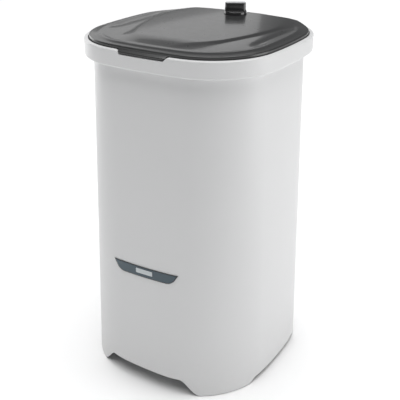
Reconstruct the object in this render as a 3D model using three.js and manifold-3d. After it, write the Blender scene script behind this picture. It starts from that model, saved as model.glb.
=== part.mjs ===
// Domestic spin dryer: a tall plastic cabinet on four rubber feet, with a perforated basket
// that spins on a rubber-mounted motor under a hinged lid.
// Millimetres, +Z up, z = 0 on the floor, front towards -Y.
import * as THREE from 'three';
import { mergeVertices } from 'three/addons/utils/BufferGeometryUtils.js';
import { LoftGeometry } from 'three/addons/geometries/LoftGeometry.js';
import Module from 'manifold-3d';

const wasm = await Module();
wasm.setup();

// ---- Driving dimensions -------------------------------------------------------------------

// Plans are rounded squares with bowed sides. The cabinet tapers from the floor to the neck,
// and the basket, tub, motor, collar and lid share one centre line at y = AXIS_Y.
const AXIS_Y = 5.5;
const NECK_Z = 648;
const FLOOR_PLAN = { halfWidth: 197.5, halfDepth: 212, sideRadius: 790, cornerRadius: 159, y: 0 };
const NECK_PLAN = { halfWidth: 180, halfDepth: 175, sideRadius: 914, cornerRadius: 114, y: AXIS_Y };
const COLLAR_PLAN = { halfWidth: 196.5, halfDepth: 192, sideRadius: 914, cornerRadius: 131, y: AXIS_Y };
const LID_PLAN = { halfWidth: 187.5, halfDepth: 183, sideRadius: 905, cornerRadius: 124, y: AXIS_Y };

const WALL = 3.5;
const GAP = 0.4;
const CABINET_BOTTOM = 1;
const CABINET_TOP = 664;
const RIM_Z = 680;
const DECK_Z = 668;
const DECK_THICKNESS = 2.8;
const THROAT_RADIUS = 108;
const THROAT_BOTTOM = 655.5;

const ARCH_HEIGHT = 34.5;
const ARCH_HALF_TOP = 83;
const ARCH_HALF_BOTTOM = 118;
const SKIRT_LIFT = 10;
const SKIRT_HALF_TOP = 82;
const SKIRT_HALF_BOTTOM = 106;

const LID_EDGE_Z = 681.2;
const LID_SKIRT = 4.4;
const LID_WALL = 2.5;
const SKIRT_DROP = 2.4;
const LIP_HALF_TOP = 52;
const LIP_HALF_BOTTOM = 45;
const LIP_BOTTOM = 673.5;

const HINGE_X = 50;
const HINGE_Y = AXIS_Y + 186;
const HINGE_Z = 683.6;
const HINGE_CENTRES = [-HINGE_X, HINGE_X];
const HINGE_REACH = 17;
const EAR_OFFSET = 15;
const KNUCKLE_RADIUS = 3.1;
const PIN_RADIUS = 1.25;

const KNOB_Y = AXIS_Y + 134;
const KNOB_BASE = 694.8;
const KNOB_SKIRT = 5;
const KNOB_HEIGHT = 20.5;
const KNOB_RADIUS = 23.5;
const GRIP_LENGTH = 43;
const GRIP_WIDTH = 15;
const KNOB_TURN = THREE.MathUtils.degToRad(32);

const CUP_RADIUS = 24.5;

const TRAY_Z = 40;
const TRAY_THICKNESS = 4;
const FOOT_X = 125;
const FOOT_Y = 143;
const MOUNT_RADIUS = 105;
const MOUNT_ANGLES = [30, 150, 270].map(THREE.MathUtils.degToRad);
const PLATE_Z = 88;
const MOTOR_RADIUS = 65;
const MOTOR_TOP = 206;
const SHAFT_RADIUS = 8;
const BORE = SHAFT_RADIUS + GAP;
const BRAKE_RADIUS = 48;
const BRAKE_Z = 220;
const TUB_FLOOR = 250;
const TUB_RADIUS = 158;
const TUB_WALL = 3;
const TUB_SEAM = TUB_FLOOR + 18;
const BASKET_FLOOR = 272;
const BASKET_TOP = 640;
const BASKET_RADIUS = 145;
const BASKET_WALL = 1.5;
const BASKET_SEAM = BASKET_FLOOR + 20;
const MOUTH_RADIUS = 112;

const BADGE = { z: 256.5, height: 21.5, halfTop: 75.5, halfBottom: 53, turn: THREE.MathUtils.degToRad(2) };
const LABEL = { z: 258, height: 9.5, halfWidth: 19.3 };

const DRAIN_X = 70;
const DRAIN_Z = 76;
const INLET_X = -70;
const INLET_Z = 96;
const SWITCH = { x: 122, y: AXIS_Y + 122 };

// ---- Finishes -----------------------------------------------------------------------------

const FINISHES = {
  white: [0xe9eaeb, 0.42, 0],
  lid: [0x55585a, 0.25, 0],
  black: [0x17181a, 0.3, 0],
  grey: [0xa9adb0, 0.45, 0],
  badge: [0x16303c, 0.3, 0],
  rubber: [0x242424, 0.85, 0],
  steel: [0xb8bcc0, 0.35, 0.9],
  basket: [0xc6cacd, 0.4, 0.9],
  copper: [0xb06a3c, 0.45, 0.8],
};

function finish(name) {
  const [color, roughness, metalness] = FINISHES[name];
  return new THREE.MeshStandardMaterial({ color, roughness, metalness });
}

// ---- Shapes -------------------------------------------------------------------------------

function solid(geometry) {
  const plain = new THREE.BufferGeometry();
  plain.setAttribute('position', geometry.getAttribute('position'));
  plain.setIndex(geometry.getIndex());
  const merged = mergeVertices(plain, 1e-4);
  return new wasm.Manifold(new wasm.Mesh({
    numProp: 3,
    vertProperties: new Float32Array(merged.getAttribute('position').array),
    triVerts: new Uint32Array(merged.getIndex().array),
  }));
}

function shaped(manifold) {
  const mesh = manifold.getMesh();
  const geometry = new THREE.BufferGeometry();
  geometry.setAttribute('position', new THREE.BufferAttribute(mesh.vertProperties, 3));
  geometry.setIndex(new THREE.BufferAttribute(mesh.triVerts, 1));
  geometry.computeVertexNormals();
  return geometry;
}

function joined(first, ...others) {
  return shaped(others.reduce((whole, geometry) => whole.add(solid(geometry)), solid(first)));
}

function cut(blank, ...tools) {
  return shaped(tools.reduce((whole, geometry) => whole.subtract(solid(geometry)), solid(blank)));
}

function common(first, second) {
  return shaped(solid(first).intersect(solid(second)));
}

function box(x0, x1, y0, y1, z0, z1) {
  return new THREE.BoxGeometry(x1 - x0, y1 - y0, z1 - z0)
    .translate((x0 + x1) / 2, (y0 + y1) / 2, (z0 + z1) / 2);
}

// A round solid about +Z. The profile is a list of [radius, z], anticlockwise with the radius to
// the right and z up, that starts and ends on the axis or closes on itself.
function turned(profile, segments = 20) {
  const points = profile.map(([radius, z]) => new THREE.Vector2(radius, z));
  if (profile[0][0] > 0) points.push(points[0].clone());
  return new THREE.LatheGeometry(points, segments).rotateX(Math.PI / 2);
}

function rod(radius, z0, z1, segments) {
  return turned([[0, z0], [radius, z0], [radius, z1], [0, z1]], segments);
}

function ring(inner, outer, z0, z1, segments) {
  return turned([[inner, z0], [outer, z0], [outer, z1], [inner, z1]], segments);
}

function alongX(geometry, y, z) {
  return geometry.rotateY(Math.PI / 2).translate(0, y, z);
}

function alongY(geometry, x, z) {
  return geometry.rotateX(-Math.PI / 2).translate(x, 0, z);
}

// A prism with its outline in X and Z, from y0 to y1.
function prism(outline, y0, y1) {
  const shape = new THREE.Shape(outline.map(([x, z]) => new THREE.Vector2(x, z)));
  return new THREE.ExtrudeGeometry(shape, { depth: y1 - y0, bevelEnabled: false })
    .rotateX(Math.PI / 2).translate(0, y1, 0);
}

function trapezoid(halfLow, halfHigh, z0, z1) {
  return [[-halfLow, z0], [halfLow, z0], [halfHigh, z1], [-halfHigh, z1]];
}

function hose(points, radius, steps, sides) {
  const path = new THREE.CatmullRomCurve3(points.map((p) => new THREE.Vector3(...p)), false, 'centripetal');
  const section = new THREE.Shape();
  section.absarc(0, 0, radius, 0, Math.PI * 2);
  return new THREE.ExtrudeGeometry(section, { steps, extrudePath: path, curveSegments: sides });
}

// ---- Plans --------------------------------------------------------------------------------

const SIDE_STEPS = 2;
const CORNER_STEPS = 6;

function arc(x, y, radius, start, end, steps) {
  return Array.from({ length: steps }, (_, i) => {
    const angle = start + (end - start) * i / steps;
    return [x + radius * Math.cos(angle), y + radius * Math.sin(angle)];
  });
}

// A ring of points round a plan, moved in by an inset: each side is one wide arc, and each corner
// arc is tangent to its two sides.
function planRing(plan, inset = 0) {
  const radius = plan.sideRadius - inset;
  const corner = plan.cornerRadius - inset;
  const sideX = plan.halfWidth - plan.sideRadius;
  const sideY = plan.halfDepth - plan.sideRadius;
  const half = Math.hypot(sideX, sideY) / 2;
  const rise = Math.sqrt((radius - corner) ** 2 - half ** 2);
  const x = sideX / 2 - rise * sideY / (2 * half);
  const y = sideY / 2 - rise * sideX / (2 * half);
  const low = Math.atan2(y, x - sideX);
  const high = Math.atan2(y - sideY, x);
  const quarter = [
    ...arc(sideX, 0, radius, 0, low, SIDE_STEPS),
    ...arc(x, y, corner, low, high, CORNER_STEPS),
    ...arc(0, sideY, radius, high, Math.PI / 2, SIDE_STEPS),
  ];
  const top = [[0, plan.halfDepth - inset]];
  const left = [...top, ...quarter.slice(1).reverse()].map(([px, py]) => [-px, py]);
  const upper = [...quarter, ...left];
  return [...upper, ...upper.map(([px, py]) => [-px, -py])].map(([px, py]) => [px, py + plan.y]);
}

// The same number of points on a circle, each in the direction of its point on the collar plan.
function circleRing(radius) {
  return planRing(COLLAR_PLAN).map(([x, y]) => {
    const reach = Math.hypot(x, y - AXIS_Y);
    return [x * radius / reach, AXIS_Y + (y - AXIS_Y) * radius / reach];
  });
}

function cabinetPlan(z) {
  const t = z / NECK_Z;
  const plan = {};
  for (const key of Object.keys(FLOOR_PLAN)) {
    plan[key] = THREE.MathUtils.lerp(FLOOR_PLAN[key], NECK_PLAN[key], t);
  }
  return plan;
}

function level(points, z) {
  return points.map(([x, y]) => new THREE.Vector3(x, y, z));
}

function loft(sections) {
  return new LoftGeometry(sections, { capStart: true, capEnd: true });
}

// A loft whose sections go up the outside of a wall and down its inside, and close on the first.
function wallLoft(sections) {
  return new LoftGeometry([...sections, sections[0]]);
}

function cabinetSkin(inset, z0, z1, levels) {
  return Array.from({ length: levels + 1 }, (_, i) => {
    const z = THREE.MathUtils.lerp(z0, z1, i / levels);
    return level(planRing(cabinetPlan(z), inset), z);
  });
}

// ---- Cabinet ------------------------------------------------------------------------------

function cabinet() {
  const shell = wallLoft([
    ...cabinetSkin(0, CABINET_BOTTOM, CABINET_TOP, 5),
    ...cabinetSkin(WALL, CABINET_BOTTOM, CABINET_TOP, 5).reverse(),
  ]);
  const arch = prism(trapezoid(ARCH_HALF_BOTTOM, ARCH_HALF_TOP, 0, ARCH_HEIGHT), -240, -120);
  const skirt = trapezoid(SKIRT_HALF_BOTTOM, SKIRT_HALF_TOP, 0, SKIRT_LIFT);
  const rear = prism(skirt, 120, 240);
  const sides = prism(skirt, -240, 240).rotateZ(Math.PI / 2);
  const drain = alongY(rod(15, 150, 240), DRAIN_X, DRAIN_Z);
  const inlet = alongY(rod(9.5, 150, 240), INLET_X, INLET_Z);
  return cut(shell, arch, rear, sides, drain, inlet);
}

// The tray closes the cabinet's foot, carries the motor's rubber mounts and ends in four legs.
function baseTray() {
  const inset = WALL + 0.8;
  const plate = loft(cabinetSkin(inset, TRAY_Z, TRAY_Z + TRAY_THICKNESS, 1));
  const legs = corners().map(([x, y]) => turned([[0, 9.5], [15, 9.5], [20, TRAY_Z + 1], [0, TRAY_Z + 1]], 12)
    .translate(x, y, 0));
  const slots = Array.from({ length: 8 }, (_, i) => box(50, 88, -4, 4, TRAY_Z - 2, TRAY_Z + 8)
    .rotateZ(i * Math.PI / 4 + Math.PI / 8).translate(0, AXIS_Y, 0));
  return cut(joined(plate, ...legs), ...slots);
}

function corners() {
  return [[-FOOT_X, -FOOT_Y], [FOOT_X, -FOOT_Y], [-FOOT_X, FOOT_Y], [FOOT_X, FOOT_Y]];
}

function rubberFoot() {
  return turned([[0, 0], [15, 0], [17, 2], [14, 9.1], [0, 9.1]], 16);
}

// The collar caps the cabinet: an overhanging skirt, a rounded rim, a recessed deck for the lid
// and a round throat down into the basket's mouth.
function topCollar() {
  const body = cabinetPlan(NECK_Z);
  const sections = [
    level(planRing(body, -0.8), NECK_Z + 1),
    level(planRing(COLLAR_PLAN, 6), NECK_Z),
    level(planRing(COLLAR_PLAN, 1.8), NECK_Z + 1.6),
    level(planRing(COLLAR_PLAN), NECK_Z + 6),
    level(planRing(COLLAR_PLAN), RIM_Z - 10),
    level(planRing(COLLAR_PLAN, 1.2), RIM_Z - 4),
    level(planRing(COLLAR_PLAN, 4), RIM_Z - 0.6),
    level(planRing(COLLAR_PLAN, 6.5), RIM_Z),
    level(planRing(COLLAR_PLAN, 7.4), RIM_Z - 0.8),
    level(planRing(COLLAR_PLAN, 7.7), RIM_Z - 3.2),
    level(planRing(COLLAR_PLAN, 12), DECK_Z),
    level(circleRing(THROAT_RADIUS + 5), DECK_Z),
    level(circleRing(THROAT_RADIUS), DECK_Z - 4),
    level(circleRing(THROAT_RADIUS), THROAT_BOTTOM),
    level(circleRing(THROAT_RADIUS + 2.5), THROAT_BOTTOM),
    level(circleRing(THROAT_RADIUS + 5), DECK_Z - DECK_THICKNESS),
    level(planRing(COLLAR_PLAN, 13), DECK_Z - DECK_THICKNESS),
    level(planRing(COLLAR_PLAN, WALL), DECK_Z),
    level(planRing(COLLAR_PLAN, WALL), NECK_Z + 6),
    level(planRing(COLLAR_PLAN, 8), NECK_Z + 3.4),
    level(planRing(body, -0.8), NECK_Z + 4.4),
  ];
  const opening = trapezoid(LIP_HALF_BOTTOM + 1.5, LIP_HALF_TOP + 3, LIP_BOTTOM - 1, RIM_Z + 2);
  const notch = prism(opening, -240, -150);
  const plunger = rod(3, DECK_Z - 10, DECK_Z + 10, 12).translate(SWITCH.x, SWITCH.y, 0);
  return cut(wallLoft(sections), notch, plunger);
}

// The tub's floor has a raised collar for the bellows and a spout for the hose, and its wall
// stands on the floor's edge.
function tubFloor() {
  const low = TUB_FLOOR;
  const inner = TUB_RADIUS - TUB_WALL;
  const dish = turned([
    [52, low], [144, low], [TUB_RADIUS, low + 14], [TUB_RADIUS, TUB_SEAM - GAP], [inner, TUB_SEAM - GAP],
    [inner, low + 15], [143, low + 3], [56, low + 3], [56, low + 12], [52, low + 12],
  ], 28).translate(0, AXIS_Y, 0);
  const spout = rod(13, low - 22, low + 1, 14).translate(DRAIN_X, AXIS_Y + 105, 0);
  const bore = rod(10.5, low - 30, low + 8, 14).translate(DRAIN_X, AXIS_Y + 105, 0);
  return cut(joined(dish, spout), bore);
}

function tubWall() {
  return ring(TUB_RADIUS - TUB_WALL, TUB_RADIUS, TUB_SEAM, CABINET_TOP, 28);
}

function drainHose() {
  const top = [DRAIN_X, AXIS_Y + 105, TUB_FLOOR - 22.8];
  const rear = rearSkin(DRAIN_X, DRAIN_Z);
  return hose([
    top, [DRAIN_X, AXIS_Y + 105, 200], [DRAIN_X + 6, AXIS_Y + 112, 150],
    [DRAIN_X + 3, AXIS_Y + 124, 102], [DRAIN_X, rear - 52, DRAIN_Z], [DRAIN_X, rear - 31.2, DRAIN_Z],
  ], 12, 12, 5);
}

// The y of the cabinet's rear surface.
function rearSkin(x, z) {
  const plan = cabinetPlan(z);
  return plan.y + plan.halfDepth - plan.sideRadius + Math.sqrt(plan.sideRadius ** 2 - x ** 2);
}

function drainSpout() {
  const rear = rearSkin(DRAIN_X, DRAIN_Z);
  const profile = [
    [9, rear - 30], [13, rear - 30], [13, rear + 1.6], [21, rear + 1.6], [21, rear + 4],
    [12.5, rear + 4], [12, rear + 6.4], [9, rear + 6.4],
  ];
  return alongY(turned(profile, 16), DRAIN_X, DRAIN_Z);
}

function cordInlet() {
  const rear = rearSkin(INLET_X, INLET_Z);
  const profile = [
    [4, rear - 10], [9, rear - 10], [9, rear + 1.4], [12.5, rear + 1.4],
    [12.5, rear + 4], [7, rear + 7], [4, rear + 7],
  ];
  return alongY(turned(profile, 16), INLET_X, INLET_Z);
}

// ---- Badge --------------------------------------------------------------------------------

// A thin plate that lies on the cabinet's front, between two heights above its surface.
function frontPlate(outline, centreZ, lift, thickness) {
  const z0 = centreZ - 30;
  const z1 = centreZ + 30;
  const skin = cut(
    loft(cabinetSkin(-lift - thickness, z0, z1, 2)),
    loft(cabinetSkin(-lift, z0 - 5, z1 + 5, 2)),
  );
  const tool = prism(outline, -260, -120).rotateY(-BADGE.turn).translate(0, 0, BADGE.z);
  return common(skin, tool);
}

function badgePlate() {
  const half = BADGE.height / 2;
  const outline = [
    [-BADGE.halfBottom, -half], [BADGE.halfBottom, -half], [BADGE.halfBottom + 10, 3 - half],
    [BADGE.halfTop, half], [-BADGE.halfTop, half], [-BADGE.halfBottom - 10, 3 - half],
  ];
  return frontPlate(outline, BADGE.z, 0.3, 1.3);
}

function badgeLabel() {
  const z = LABEL.z - BADGE.z;
  const outline = trapezoid(LABEL.halfWidth, LABEL.halfWidth, z - LABEL.height / 2, z + LABEL.height / 2);
  return frontPlate(outline, BADGE.z, 1.9, 0.6);
}

// ---- Lid ----------------------------------------------------------------------------------

const smooth = THREE.MathUtils.smoothstep;

// The lid's upper surface, with y measured from the lid's centre and edge running from 0 in the
// middle to 1 at the rim: a border, a raised centre panel between two curved creases, and a
// higher rear rim behind the knob.
function lidHeight(x, y, edge) {
  const crease = 130 - 60 * ((117 - y) / 245) ** 2;
  const lengthwise = smooth(y, -160, -118) * smooth(-y, -174, -160);
  const panel = smooth(-Math.abs(x), -crease - 9, -crease + 3) * lengthwise;
  const border = LID_EDGE_Z + LID_SKIRT + 3.4 * (1 - edge ** 6);
  const centre = 693.8 + 0.6 * smooth(y, -150, 140) - 3 * (x / 120) ** 2;
  const rearRim = 3.6 * smooth(-Math.abs(x), -130, -30) * smooth(y, 160, 180);
  return THREE.MathUtils.lerp(border + rearRim, centre, panel);
}

function lidSection(edge, lower) {
  return planRing(LID_PLAN).map(([x, y]) => {
    const depth = (y - AXIS_Y) * edge;
    return new THREE.Vector3(x * edge, AXIS_Y + depth, lidHeight(x * edge, depth, edge) - lower);
  });
}

function lidCover() {
  const fractions = [0.985, 0.94, 0.87, 0.78, 0.66, 0.4, 0.05];
  const hollow = [0.94, 0.87, 0.66, 0.4, 0.05];
  const outside = loft([
    level(planRing(LID_PLAN), LID_EDGE_Z - SKIRT_DROP),
    level(planRing(LID_PLAN, 0.4), LID_EDGE_Z + LID_SKIRT - 1.4),
    ...fractions.map((edge) => lidSection(edge, 0)),
  ]);
  const inside = loft([
    level(planRing(LID_PLAN, LID_WALL), LID_EDGE_Z - 4),
    level(planRing(LID_PLAN, LID_WALL), LID_EDGE_Z + 1),
    ...hollow.map((edge) => lidSection(edge, LID_WALL)),
  ]);
  const lipRing = loft([
    level(planRing(COLLAR_PLAN, 1.5), LIP_BOTTOM),
    level(planRing(COLLAR_PLAN, 1.5), RIM_Z - 2.5),
    level(planRing(COLLAR_PLAN, 9.4), LID_EDGE_Z + 1.2),
  ]);
  const lipHollow = loft([
    level(planRing(LID_PLAN, 4), LIP_BOTTOM - 4),
    level(planRing(LID_PLAN, 4), LID_EDGE_Z + 4),
  ]);
  const lipShape = prism(trapezoid(LIP_HALF_BOTTOM, LIP_HALF_TOP, LIP_BOTTOM - 1, RIM_Z + 2), -240, -150);
  const lip = common(cut(lipRing, lipHollow), lipShape);
  const onHinge = (radius, half, sides) => HINGE_CENTRES.map((x) => (
    alongX(rod(radius, -half, half, sides), HINGE_Y, HINGE_Z).translate(x, 0, 0)));
  const knuckles = onHinge(KNUCKLE_RADIUS, 12.2, 14);
  const webs = HINGE_CENTRES.map((x) => box(x - 12, x + 12, HINGE_Y - 5, HINGE_Y, HINGE_Z - 2, HINGE_Z + 2));
  const bores = onHinge(PIN_RADIUS + 0.35, 20, 12);
  const spindle = rod(5, RIM_Z, RIM_Z + 30, 12).translate(0, KNOB_Y, 0);
  return cut(joined(cut(outside, inside), lip, ...knuckles, ...webs), ...earSlots(), ...bores, spindle);
}

// Slots in the lid's rear edge for the ears of the two hinge brackets.
function earSlots() {
  return HINGE_CENTRES.flatMap((centre) => [-EAR_OFFSET, EAR_OFFSET].map((offset) => {
    const x = centre + offset;
    return box(x - 2.7, x + 2.7, HINGE_Y - 17, HINGE_Y + 20, DECK_Z, HINGE_Z + 5);
  }));
}

// The inner panel closes the lid from below, and a cup let into its back holds the timer.
function lidLiner() {
  const plate = loft([
    level(planRing(LID_PLAN, 8.5), LID_EDGE_Z - 3.6),
    level(planRing(LID_PLAN, 7.5), LID_EDGE_Z - 2.6),
    level(planRing(LID_PLAN, 7.5), LID_EDGE_Z - 0.4),
  ]);
  const hole = rod(CUP_RADIUS + GAP, DECK_Z, LID_EDGE_Z + 3, 24).translate(0, KNOB_Y, 0);
  return cut(plate, hole, ...earSlots());
}

function timerCup() {
  const low = DECK_Z + 1.2;
  const high = LID_EDGE_Z - 0.4;
  return turned([
    [0, low], [CUP_RADIUS, low], [CUP_RADIUS, high],
    [CUP_RADIUS - 2, high], [CUP_RADIUS - 2, low + 2], [0, low + 2],
  ], 24);
}

function lidSeal() {
  const low = DECK_Z + 0.4;
  const high = LID_EDGE_Z - 4;
  return turned([[97, high - 3], [100, low - 3], [103, high - 3], [103, high], [97, high]], 28)
    .translate(0, AXIS_Y, 0);
}

function timerBody() {
  return turned([
    [0, DECK_Z + 3.6], [21, DECK_Z + 3.6], [21, DECK_Z + 18],
    [9, DECK_Z + 18], [9, DECK_Z + 20], [0, DECK_Z + 20],
  ], 20);
}

function knobGrip() {
  const skirt = turned([
    [0, 0], [KNOB_RADIUS, 0], [KNOB_RADIUS - 0.6, KNOB_SKIRT - 1],
    [KNOB_RADIUS - 2, KNOB_SKIRT], [0, KNOB_SKIRT],
  ], 28);
  const outline = new THREE.Shape();
  const half = GRIP_LENGTH / 2 - GRIP_WIDTH / 2;
  outline.absarc(half, 0, GRIP_WIDTH / 2, -Math.PI / 2, Math.PI / 2);
  outline.absarc(-half, 0, GRIP_WIDTH / 2, Math.PI / 2, Math.PI * 1.5);
  const grip = new THREE.ExtrudeGeometry(outline, {
    depth: KNOB_HEIGHT - KNOB_SKIRT + 1, bevelEnabled: false, curveSegments: 6,
  }).translate(0, 0, KNOB_SKIRT - 1);
  const socket = rod(3.4, -1, KNOB_SKIRT + 5, 12);
  return cut(joined(skirt, grip), socket);
}

function knobInlay() {
  const outline = new THREE.Shape();
  const half = GRIP_LENGTH / 2 - GRIP_WIDTH / 2;
  const radius = GRIP_WIDTH / 2 - 1.2;
  outline.absarc(half, 0, radius, -Math.PI / 2, Math.PI / 2);
  outline.absarc(-half, 0, radius, Math.PI / 2, Math.PI * 1.5);
  return new THREE.ExtrudeGeometry(outline, { depth: 0.8, bevelEnabled: false, curveSegments: 6 });
}

// ---- Hinges -------------------------------------------------------------------------------

function hingeBracket() {
  const foot = box(-HINGE_REACH, HINGE_REACH, HINGE_Y - 26, HINGE_Y - 9.2, DECK_Z + 0.3, DECK_Z + 2.3);
  const ear = [
    [HINGE_Y - 15.5, DECK_Z + 0.3], [HINGE_Y - 9.2, DECK_Z + 0.3], [HINGE_Y - 9.2, RIM_Z - 3.5],
    [HINGE_Y - 4.5, RIM_Z + 0.5], [HINGE_Y + 3, RIM_Z + 0.5], [HINGE_Y + 3, RIM_Z + 6.4],
    [HINGE_Y - 4, RIM_Z + 6.4], [HINGE_Y - 15.5, RIM_Z - 1],
  ];
  const ears = [-EAR_OFFSET, EAR_OFFSET].map((x) => prism(ear, x - 2, x + 2).rotateZ(Math.PI / 2));
  const bore = alongX(rod(PIN_RADIUS + 0.3, -30, 30, 12), HINGE_Y, HINGE_Z);
  return cut(joined(foot, ...ears), bore);
}

function hingePin() {
  return alongX(rod(PIN_RADIUS, -HINGE_REACH, HINGE_REACH, 12), HINGE_Y, HINGE_Z);
}

// ---- Motor --------------------------------------------------------------------------------

function rubberMount() {
  const low = TRAY_Z + TRAY_THICKNESS + 0.3;
  const high = PLATE_Z - 0.3;
  const middle = (low + high) / 2;
  return turned([
    [0, low], [17, low], [17, low + 5], [12, middle], [17, high - 5], [17, high], [0, high],
  ], 12);
}

function mountNut() {
  return rod(8, PLATE_Z + 3.3, PLATE_Z + 10, 6);
}

function motorPlate() {
  return ring(20, MOUNT_RADIUS + 22, PLATE_Z, PLATE_Z + 3, 24);
}

// Each end bell is a cup with a boss for one bearing. It is drawn as the lower one, floor down.
function motorBell(height) {
  const wall = 3;
  return turned([
    [BORE + 1, 0], [MOTOR_RADIUS - 5, 0], [MOTOR_RADIUS, 5],
    [MOTOR_RADIUS, height], [MOTOR_RADIUS - wall, height],
    [MOTOR_RADIUS - wall, wall + 3], [19.5, wall], [19.5, 13], [16.4, 13], [16.4, wall], [BORE + 1, wall],
  ], 20);
}

function bearing() {
  return ring(BORE, 16, 0, 9, 20);
}

function stator() {
  return ring(40, 61.5, 118, 182, 20);
}

function winding() {
  return turned([[43, 0], [56, 0], [58, 5], [54, 12], [46, 12], [41, 6]], 18);
}

function rotor() {
  return ring(BORE, 39.2, 118, 182, 20);
}

function motorShaft() {
  return turned([[0, 96], [SHAFT_RADIUS, 96], [SHAFT_RADIUS, BASKET_FLOOR + 12], [0, BASKET_FLOOR + 12]], 16);
}

// ---- Brake --------------------------------------------------------------------------------

const BRAKE_PIVOT = { x: -56, y: AXIS_Y - 26 };

function brakeDrum() {
  const z = BRAKE_Z;
  return turned([
    [BORE, z], [16, z], [16, z + 6], [BRAKE_RADIUS - 4, z + 6], [BRAKE_RADIUS - 4, z], [BRAKE_RADIUS, z],
    [BRAKE_RADIUS, z + 16], [BRAKE_RADIUS - 4, z + 16], [BRAKE_RADIUS - 4, z + 9], [16, z + 9],
    [16, z + 16], [BORE, z + 16],
  ], 20);
}

function brakePivot() {
  return rod(4, MOTOR_TOP + 0.3, BRAKE_Z + 18, 12).translate(BRAKE_PIVOT.x, BRAKE_PIVOT.y, 0);
}

function brakeLever() {
  const { x, y } = BRAKE_PIVOT;
  const boss = rod(8, BRAKE_Z + 4, BRAKE_Z + 12, 14).translate(x, y, 0);
  const arm = box(x - 5, x + 1, y, AXIS_Y + 8, BRAKE_Z + 4, BRAKE_Z + 10);
  const tail = box(x - 32, x, y - 4, y + 4, BRAKE_Z + 4, BRAKE_Z + 10);
  const bore = rod(4.4, BRAKE_Z, BRAKE_Z + 20, 12).translate(x, y, 0);
  return cut(joined(boss, arm, tail), bore);
}

function brakePad() {
  const x = -BRAKE_RADIUS - 3.4;
  return box(BRAKE_PIVOT.x + 1.3, x, AXIS_Y - 6, AXIS_Y + 6, BRAKE_Z + 1, BRAKE_Z + 14);
}

function brakeCable() {
  return hose([
    [-104, AXIS_Y + 140, 660], [-118, AXIS_Y + 130, 600],
    [-120, AXIS_Y + 128, 450], [-122, AXIS_Y + 130, 300],
    [-118, AXIS_Y + 100, 240], [-106, AXIS_Y + 30, 228], [-96, BRAKE_PIVOT.y + 4, BRAKE_Z + 7],
  ], 2.5, 26, 3);
}

// ---- Basket -------------------------------------------------------------------------------

// The basket is a rolled wall between a pressed floor and a flange that narrows its mouth.
function basketFloor() {
  const low = BASKET_FLOOR;
  const inner = BASKET_RADIUS - BASKET_WALL;
  return turned([
    [BORE + 0.6, low], [BASKET_RADIUS - 12, low], [BASKET_RADIUS, low + 12],
    [BASKET_RADIUS, BASKET_SEAM - GAP], [inner, BASKET_SEAM - GAP], [inner, low + 12 + BASKET_WALL / 2],
    [inner - 11, low + BASKET_WALL], [BORE + 0.6, low + BASKET_WALL],
  ], 32);
}

function basketWall() {
  const high = BASKET_TOP - 1 - BASKET_WALL - GAP;
  return ring(BASKET_RADIUS - BASKET_WALL, BASKET_RADIUS, BASKET_SEAM, high, 32);
}

function basketFlange() {
  return ring(MOUTH_RADIUS + 4, BASKET_RADIUS, BASKET_TOP - 1 - BASKET_WALL, BASKET_TOP - 1, 32);
}

function basketHub() {
  const top = BASKET_FLOOR - 0.4;
  return turned([[BORE, top - 10], [16, top - 10], [32, top - 5], [32, top], [BORE, top]], 20);
}

function shaftNut() {
  return cut(rod(14, BASKET_FLOOR + 2, BASKET_FLOOR + 11, 6), rod(BORE, BASKET_FLOOR, BASKET_FLOOR + 14, 20));
}

function hubCap() {
  const low = BASKET_FLOOR + 2;
  return turned([
    [30, low], [34, low], [31, low + 14], [18, low + 27], [0, low + 31],
    [0, low + 28], [16.5, low + 24.5], [28, low + 13],
  ], 18);
}

function balanceRing() {
  return turned([
    [MOUTH_RADIUS, BASKET_TOP], [BASKET_RADIUS + 1.5, BASKET_TOP - 0.5],
    [BASKET_RADIUS + 1.5, BASKET_TOP + 8],
    [BASKET_RADIUS - 4, BASKET_TOP + 11], [MOUTH_RADIUS + 5, BASKET_TOP + 11], [MOUTH_RADIUS, BASKET_TOP + 6],
  ], 32);
}

// The seal is a rubber bellows from the tub's centre hole down to a bush round the shaft.
function shaftBellows() {
  const low = BRAKE_Z + 18;
  return turned([
    [10, low], [18, low], [34, low + 6], [38, low + 2], [51.4, TUB_FLOOR + 4], [51.4, TUB_FLOOR + 10],
    [48, TUB_FLOOR + 10], [36, low + 6], [33, low + 10], [16, low + 5], [10, low + 5],
  ], 16);
}

// ---- Electrical ---------------------------------------------------------------------------

function capacitor() {
  const low = TRAY_Z + TRAY_THICKNESS + 0.4;
  return turned([[0, low], [17, low], [17, low + 34], [14, low + 36], [0, low + 36]], 18);
}

function capacitorClamp() {
  const low = TRAY_Z + TRAY_THICKNESS + 12;
  const band = ring(17.4, 19.4, low, low + 8, 18);
  const foot = box(18, 22, -5, 5, TRAY_Z + TRAY_THICKNESS + 0.3, low + 8);
  return cut(joined(band, foot), rod(17.4, low - 20, low + 20, 18));
}

function lidSwitch() {
  const { x, y } = SWITCH;
  const body = box(x - 9, x + 9, y - 8, y + 8, DECK_Z - 26, DECK_Z - DECK_THICKNESS - 0.4);
  return cut(body, rod(3, DECK_Z - 20, DECK_Z + 5, 12).translate(x, y, 0));
}

function switchPlunger() {
  return rod(2.4, DECK_Z - 18, DECK_Z + 3, 12).translate(SWITCH.x, SWITCH.y, 0);
}

// ---- Assembly -----------------------------------------------------------------------------

const dryer = new THREE.Group();

function add(name, finishName, geometry, x = 0, y = 0, z = 0) {
  const mesh = new THREE.Mesh(geometry, finish(finishName));
  mesh.name = name;
  mesh.position.set(x, y, z);
  dryer.add(mesh);
  return mesh;
}

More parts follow.
